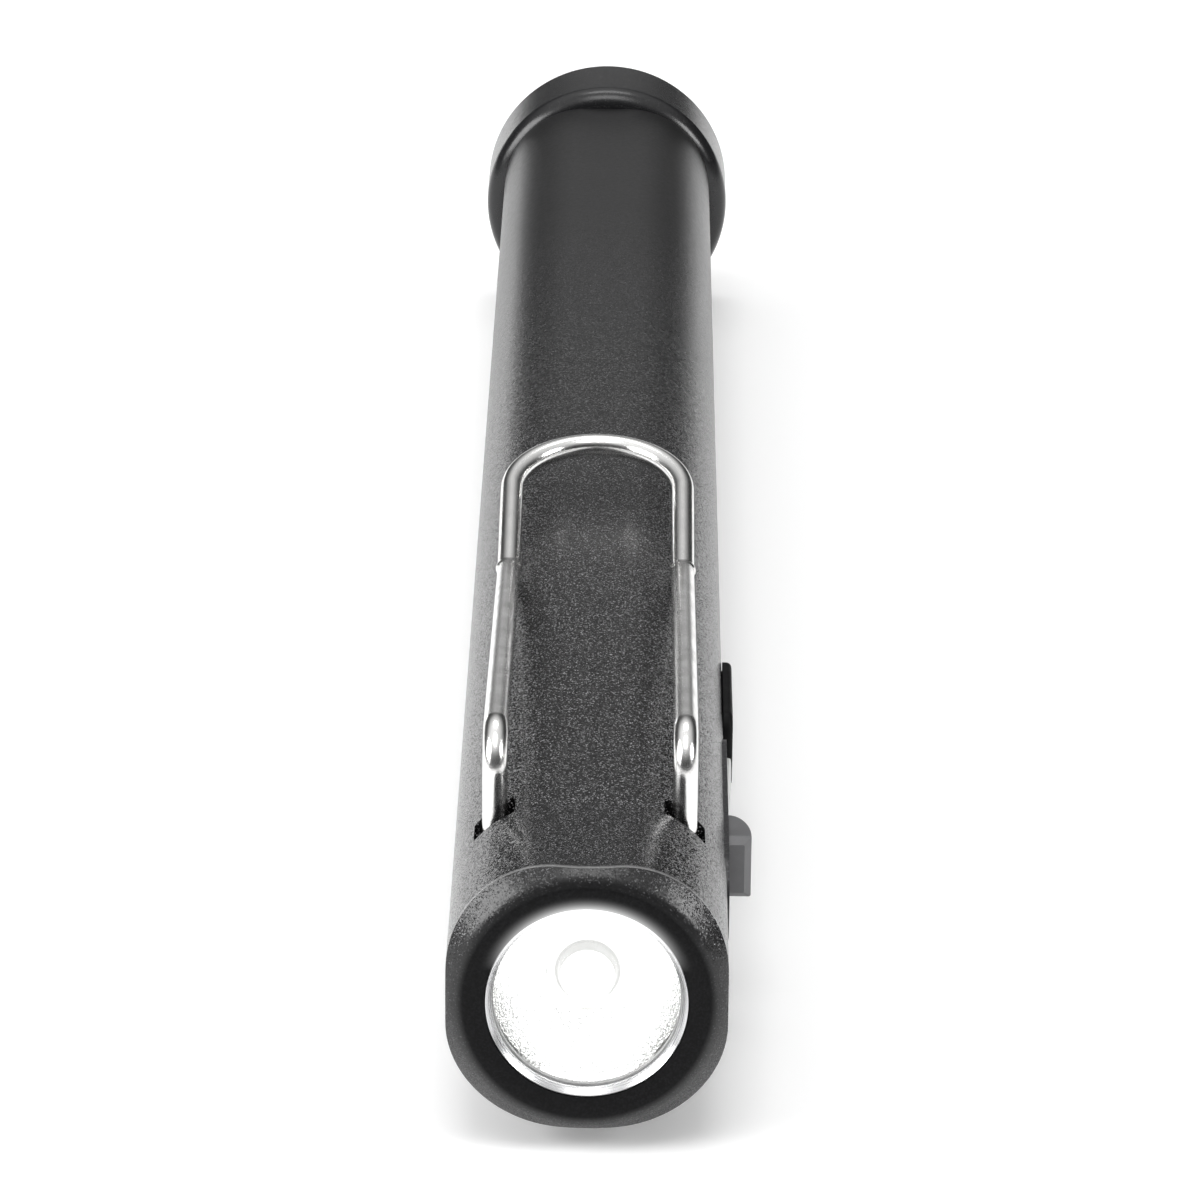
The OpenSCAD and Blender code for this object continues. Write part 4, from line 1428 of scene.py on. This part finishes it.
@dataclass
class SwitchGroup:
    """Plate, button and the frosted indicator on the switch side."""

    plate_flat: float = 0.05
    plate_steps: int = 16
    light_hole: float = 1.1
    edge: float = 0.07
    past: float = 1.0
    gap: float = 0.1
    button_flat: float = 0.5
    front_chamfer: float = 0.36
    round_edge: float = 0.22
    round_steps: int = 4
    hump_steps: int = 14
    flange: float = 0.4
    flange_drop: float = 0.08
    flange_lap: float = 0.05
    flange_edge: float = 0.1
    stem: float = 1.0
    lens_rise: float = 0.2
    lens_low: float = 0.1
    lens_edge: float = 0.1
    lens_steps: int = 3
    above: float = 0.02

    def plate(self) -> None:
        """Build the thin plate with its window and light hole."""
        low, high = span("switch_plate")
        pipe = span("indicator_lens")
        form = Form.slab(low, high, (high.z - low.z) / 2 - self.plate_flat, Axis.X, self.plate_steps)
        front, rear, half = self.button_box()
        start, end, gap = low.x - self.past, high.x + self.past, self.gap
        window = Form.block((start, front - gap, -half - gap), (end, rear + gap, half + gap))
        hole = Form.rod(self.light_hole, start, end, Facets.HOLE).across((pipe[0].y + pipe[1].y) / 2)
        form.joined(Join.CUT, [window, hole]).soften_folds(self.edge)
        form.piece("plate_pressed", Body.LIGHT, "anodised_plate", PLATE_ANODISE, ["switch_plate"])

    def button_box(self) -> tuple[float, float, float]:
        """Give the button's front, rear and half height above its flange."""
        low, high = span("switch_button")
        return low.y + self.flange, high.y - self.flange, high.z - self.flange

    def button(self) -> None:
        """Build the button with its upright front, humped back and flange."""
        low, high = span("switch_button")
        front, rear, half = self.button_box()
        under, plate = (corner.x for corner in span("switch_plate"))
        seat = under - self.flange_drop
        crest, drop = front + self.button_flat, high.x - plate
        form = Form()
        outline = ((seat, front), (high.x, front), (high.x, crest))
        corners = [form.bm.verts.new((x, y, -half)) for x, y in outline]
        for pair in zip(corners, corners[1:]):
            form.bm.edges.new(pair)
        bmesh.ops.spin(
            form.bm, geom=[corners[-1]], cent=(plate, crest, -half), axis=(0, 0, 1), dvec=(0, 0, 0),
            angle=math.pi / 2, steps=self.hump_steps, use_merge=False, use_duplicate=False,
        )
        hump = [vert for vert in form.bm.verts if vert.co.y > crest + MERGED]
        longer, at_crest = (1, (rear - crest) / drop, 1), Matrix.Translation((0, -crest, 0))
        bmesh.ops.scale(form.bm, vec=longer, space=at_crest, verts=hump)
        last = max(form.bm.verts, key=lambda vert: vert.co.y)
        heel = form.bm.verts.new((seat, rear, -half))
        form.bm.edges.new((last, heel))
        form.bm.edges.new((heel, corners[0]))
        face = bmesh.ops.contextual_create(form.bm, geom=list(form.bm.edges))["faces"]
        made = bmesh.ops.extrude_face_region(form.bm, geom=face)["geom"]
        bmesh.ops.translate(form.bm, vec=(0, 0, 2 * half), verts=Form.only(made, Vert))
        form.closed()
        form.soften(
            self.front_chamfer, 1,
            lambda e: max(vert.co.y for vert in e.verts) < front + NEAR
            and max(vert.co.x for vert in e.verts) > seat + NEAR,
        )
        form.soften(
            self.round_edge, self.round_steps,
            lambda e: Form.folded(e, Fold.MIDDLE) and Form.middle(e).x > plate + self.above
            and Form.middle(e).y > front + NEAR,
        )
        flange = Form.block(low, (seat + self.flange_lap, high.y, high.z)).soften_folds(self.flange_edge)
        form.with_shell(flange)
        form.piece("button_cap", Body.BUTTON, "grey_button", BUTTON_PLASTIC, ["switch_button"])

    def indicator(self) -> None:
        """Build the frosted lens with its slanted face and stem."""
        low, high = span("indicator_lens")
        plate = span("switch_plate")[1].x
        wide, top = (high.y - low.y) / 2, high.x + self.lens_rise
        profile = [(0, low.x), (self.stem, low.x), (self.stem, plate), (wide, plate), (wide, top), (0, top)]
        form = Form.lathe(profile, Facets.LENS).across((high.y + low.y) / 2)
        slope = math.atan2(high.x - plate - self.lens_low, 2 * wide)
        form.sliced((high.x, high.y, 0), (math.cos(slope), -math.sin(slope), 0))
        form.soften(
            self.lens_edge, self.lens_steps,
            lambda e: Form.folded(e, Fold.SHALLOW) and Form.middle(e).x > plate + self.above,
        )
        form.piece("indicator_window", Body.LIGHT, "frosted_lens", FROSTED, ["indicator_lens"])

    def build(self) -> None:
        """Build the switch side."""
        self.plate()
        self.button()
        self.indicator()


@dataclass
class ChargingGroup:
    """Rubber cover over the charging port."""

    corner: float = 1.0
    corner_steps: int = 12
    round_edge: float = 0.3
    round_steps: int = 5
    plug_in: float = 0.65
    plug_less: float = 0.1
    plug_lap: float = 0.2
    plug_edge: float = 0.12
    plug_steps: int = 10
    bead: float = 0.3
    bead_lap: float = 1 / 3
    bead_edge: float = 0.06
    lift: float = 0.04

    def build(self) -> None:
        """Build the cover with its plug and hinge bead."""
        low, high = span("port_cover")
        strap = span("cover_strap")
        under = span("barrel")[1].x + self.lift
        hinge = high.y - self.bead
        end = hinge - self.bead_lap * self.bead
        form = Form.slab(
            (under, low.y, low.z), (high.x, end, high.z), self.corner, Axis.X, self.corner_steps
        )
        form.soften(
            self.round_edge, self.round_steps,
            lambda e: Form.folded(e, Fold.STEEP) and Form.middle(e).x > high.x - NEAR,
        )
        inset, less = self.plug_in, self.plug_less
        plug = Form.slab(
            (low.x, low.y + inset + less, low.z + inset),
            (under + self.plug_lap, end - inset - less, high.z - inset),
            self.corner - less, Axis.X, self.plug_steps,
        )
        plug.soften(
            self.plug_edge, SMALL_ROUND,
            lambda e: Form.folded(e, Fold.STEEP) and Form.middle(e).x < low.x + NEAR,
        )
        bead = Form.rod(self.bead, strap[0].z, strap[1].z, Facets.STUD)
        bead.turned(QUARTER, Axis.X).moved((under + self.lift, hinge, 0)).soften_folds(self.bead_edge)
        form.joined(Join.ADD, [plug, bead])
        form.piece("cover_moulded", Body.COVER, "black_rubber", COVER_RUBBER, ["port_cover"])


@dataclass
class TailGroup:
    """Flared tail cap with its threaded spigot."""

    bore: float = 4.0
    front_round: float = 1.2
    rear_round: float = 0.7
    round_steps: int = 10
    spigot_fit: float = 0.08
    spigot_edge: float = 0.12
    spigot_end: float = 0.5
    seam: float = 0.05
    root_depth: float = 0.36
    root_lap: float = 0.1
    runout: float = 0.2
    pitch: float = 1.0
    turns: int = 4
    turn_steps: int = 72
    ridge_base: float = 0.42
    ridge_top: float = 0.14
    thread_start: float = 0.55
    land: float = 0.5
    seal_floor: float = 0.78
    seal_room: float = 0.86

    def build(self) -> None:
        """Turn the cap and cut its thread and seal groove."""
        low, high = span("tail_cap")
        seal = span("tail_seal")
        contact = span("tail_contact")[1].y
        barrel = span("barrel")[1]
        flange = barrel.y + self.seam
        spigot = barrel.x - Casing.wall - self.spigot_fit
        root = spigot - self.root_depth
        begin = low.y + self.thread_start
        finish = begin + self.turns * self.pitch + self.land
        groove = (seal[0].y + seal[1].y) / 2
        floor, half = spigot - self.seal_floor, self.seal_room / 2
        form = Form.lathe(
            [
                (self.bore, low.y), (root, low.y), (root, finish - self.runout), (spigot, finish),
                (spigot, groove - half), (floor, groove - half),
                (floor, groove + half), (spigot, groove + half),
                (spigot, flange), (high.x, flange), (high.x, high.y),
                (0, high.y), (0, contact), (self.bore, contact),
            ]
        )
        for width, place in ((self.front_round, flange), (self.rear_round, high.y)):
            form.soften(
                width, self.round_steps,
                lambda e, at=place: Form.folded(e, Fold.STEEP) and abs(Form.middle(e).y - at) < NEAR
                and math.hypot(*e.verts[0].co.xz) > high.x - NEAR,
            )
        form.soften(
            self.spigot_edge, SMALL_ROUND,
            lambda e: Form.folded(e, Fold.STEEP) and Form.middle(e).y < flange - self.spigot_end,
        )
        form.with_shell(self.thread(root - self.root_lap, spigot, begin))
        form.piece("tail_turned", Body.TAIL, "anodised_body", TAIL_ANODISE, ["tail_cap"])

    def thread(self, root: float, crest: float, start: float) -> Form:
        """Wind the thread's ridge round the spigot.

        Args:
            root: radius that the ridge stands on.
            crest: radius of its top.
            start: place of its first turn.

        Returns:
            The closed ridge.
        """
        form = Form()
        base, top = self.pitch * self.ridge_base, self.pitch * self.ridge_top
        corners = [
            form.bm.verts.new((radius, start + along, 0))
            for radius, along in ((root, -base), (crest, -top), (crest, top), (root, base))
        ]
        form.bm.faces.new(corners)
        bmesh.ops.spin(
            form.bm, geom=list(form.bm.faces), cent=(0, 0, 0), axis=(0, 1, 0),
            dvec=(0, self.pitch / self.turn_steps, 0), angle=math.tau * self.turns,
            steps=self.turn_steps * self.turns, use_merge=False, use_duplicate=False,
        )
        return form.closed()


@dataclass
class InnerWorks:
    """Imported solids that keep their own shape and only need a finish."""

    def build(self) -> None:
        """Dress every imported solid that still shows."""
        slots = {row["node"]: row["material_slot"] for row in frame["record"]["subparts"]}
        for name, node in sorted(frame["nodes"].items()):
            if node.hide_render:
                continue
            finish = NODE_FINISHES.get(name) or NODE_FINISHES[slots[name]]
            node.data.materials.clear()
            node.data.materials.append(finish.material())
            LOG.info("dressed %s in %s", name, finish.name)


@dataclass(frozen=True)
class Lamp:
    """A soft rectangular lamp, in metres and watts."""

    name: str
    power: float
    size: Range
    place: Point

    def hang(self, target: Point) -> None:
        """Hang the lamp.

        Args:
            target: what it points at.
        """
        data = bpy.data.lights.new(self.name, "AREA")
        data.shape, data.energy = "RECTANGLE", self.power
        data.size, data.size_y = self.size
        lamp = bpy.data.objects.new(self.name, data)
        turn = (Vector(target) - Vector(self.place)).to_track_quat("-Z", "Y").to_matrix().to_4x4()
        lamp.matrix_world = Matrix.Translation(self.place) @ turn
        bpy.context.scene.collection.objects.link(lamp)


@dataclass
class Studio:
    """Pale floor, soft lamps and the camera of the photograph, in metres."""

    lens: float = 195.0
    sensor: float = 36.0
    sight: Range = (0.01, 20.0)
    eye: Point = (0.00186, -0.43472, 0.13063)
    pitch: float = 20.446
    yaw: float = -0.274
    roll: float = 0.567
    floor_size: float = 3.0
    floor_cells: int = 4
    floor_gap: float = 1e-4
    floor_colour: Colour = (0.9, 0.9, 0.9)
    floor_glow: float = 0.17
    # Each range of a direction's part, and the strength that the room's light gets from it.
    sky: tuple[Range, Range] = ((0.35, 0.95), (0.06, 1.15))
    tilted_sky: tuple[Range, Range] = ((-1.0, 1.0), (1.2, 0.8))
    back_side: tuple[Range, Range] = ((0.04, 0.3), (1.0, 0.0))
    back_rise: tuple[Range, Range] = ((0.0, 0.4), (0.75, 0.1))
    back_only: tuple[Range, Range] = ((0.2, 0.6), (0.0, 1.0))
    lamps: tuple[Lamp, ...] = (
        Lamp("left", 4.2, (0.45, 0.38), (-0.6, -0.34, 0.32)),
        Lamp("right", 2.0, (0.24, 0.24), (0.6, -0.34, 0.34)),
        Lamp("over", 1.0, (0.3, 0.3), (0, -0.36, 0.62)),
        Lamp("over_rim", 0.6, (0.3, 0.16), (0, 0.12, 0.62)),
        Lamp("left_behind", 0.05, (0.14, 0.045), (-0.3, 0.5, 0.018)),
    )
    lit_place: Point = (0, -0.07, 0)

    def camera(self) -> None:
        """Set up the camera."""
        pitch, yaw, roll = (math.radians(angle) for angle in (self.pitch, self.yaw, self.roll))
        level = math.cos(pitch)
        ahead = Vector((math.sin(yaw) * level, math.cos(yaw) * level, -math.sin(pitch)))
        right = Vector((math.cos(yaw), -math.sin(yaw), 0))
        over = right.cross(ahead)
        side = math.cos(roll) * right + math.sin(roll) * over
        top = -math.sin(roll) * right + math.cos(roll) * over
        turn = Matrix((side, top, -ahead)).transposed().to_4x4()
        data = bpy.data.cameras.new("camera")
        data.lens, data.sensor_width, data.sensor_fit = self.lens, self.sensor, "HORIZONTAL"
        data.clip_start, data.clip_end = self.sight
        camera = bpy.data.objects.new("camera", data)
        camera.matrix_world = Matrix.Translation(self.eye) @ turn
        bpy.context.scene.collection.objects.link(camera)
        bpy.context.scene.camera = camera

    def floor(self) -> None:
        """Lay the pale floor just under the part, a little brighter where it is looked at or mirrored."""
        form = Form()
        cells, size = self.floor_cells, self.floor_size / 2
        bmesh.ops.create_grid(form.bm, x_segments=cells, y_segments=cells, size=size)
        form.moved((0, 0, CAD_BOX[0].z - self.floor_gap))
        mesh = bpy.data.meshes.new("floor")
        form.bm.to_mesh(mesh)
        form.bm.free()
        floor = bpy.data.objects.new("floor", mesh)
        bpy.context.scene.collection.objects.link(floor)
        material = bpy.data.materials.new("pale_floor")
        material.use_nodes = True
        graph = Graph(material.node_tree)
        rays = ("Is Camera Ray", "Is Glossy Ray", "Is Transmission Ray")
        seen = graph.combined(Sum.MOST, *(graph.node("ShaderNodeLightPath", ray, {}) for ray in rays))
        strength = graph.combined(Sum.TIMES, seen, self.floor_glow)
        glow = graph.node("ShaderNodeEmission", "Emission", {"Strength": strength})
        matt = graph.node("ShaderNodeBsdfDiffuse", "BSDF", {"Color": self.floor_colour})
        both = graph.node("ShaderNodeAddShader", "Shader", {0: glow, 1: matt})
        graph.ends_in("ShaderNodeOutputMaterial", both)
        mesh.materials.append(material)

    def world(self) -> None:
        """Surround the part with soft light, dim near the horizon, bright overhead and low behind."""
        world = bpy.data.worlds.new("room")
        world.use_nodes = True
        graph = Graph(world.node_tree)
        way = graph.node("ShaderNodeTexCoord", "Generated", {})
        x, y, z = (graph.part(way, axis) for axis in Axis)
        risen, tilted, side, rise, behind = (
            graph.ranged(value, *limits, Slope.SMOOTH)
            for value, limits in (
                (z, self.sky), (x, self.tilted_sky),
                (graph.unsigned(x), self.back_side), (z, self.back_rise), (y, self.back_only),
            )
        )
        overhead = graph.combined(Sum.TIMES, risen, tilted)
        glow = graph.combined(Sum.TIMES, side, rise, behind)
        strength = graph.combined(Sum.PLUS, overhead, glow)
        light = graph.node("ShaderNodeBackground", "Background", {"Strength": strength})
        graph.ends_in("ShaderNodeOutputWorld", light)
        bpy.context.scene.world = world

    def build(self) -> None:
        """Set up the whole studio."""
        self.camera()
        self.floor()
        self.world()
        for lamp in self.lamps:
            lamp.hang(self.lit_place)
        bpy.context.scene.view_settings.view_transform = "Standard"


def main() -> None:
    """Build the light group by group."""
    logging.basicConfig(level=logging.INFO, format="%(name)s: %(message)s")
    groups = (
        Studio, Casing, Optics, PocketClip, SwitchGroup, ChargingGroup, TailGroup, InnerWorks
    )
    for group in groups:
        LOG.info("building %s", group.__name__)
        group().build()


if __name__ == "__main__":
    main()
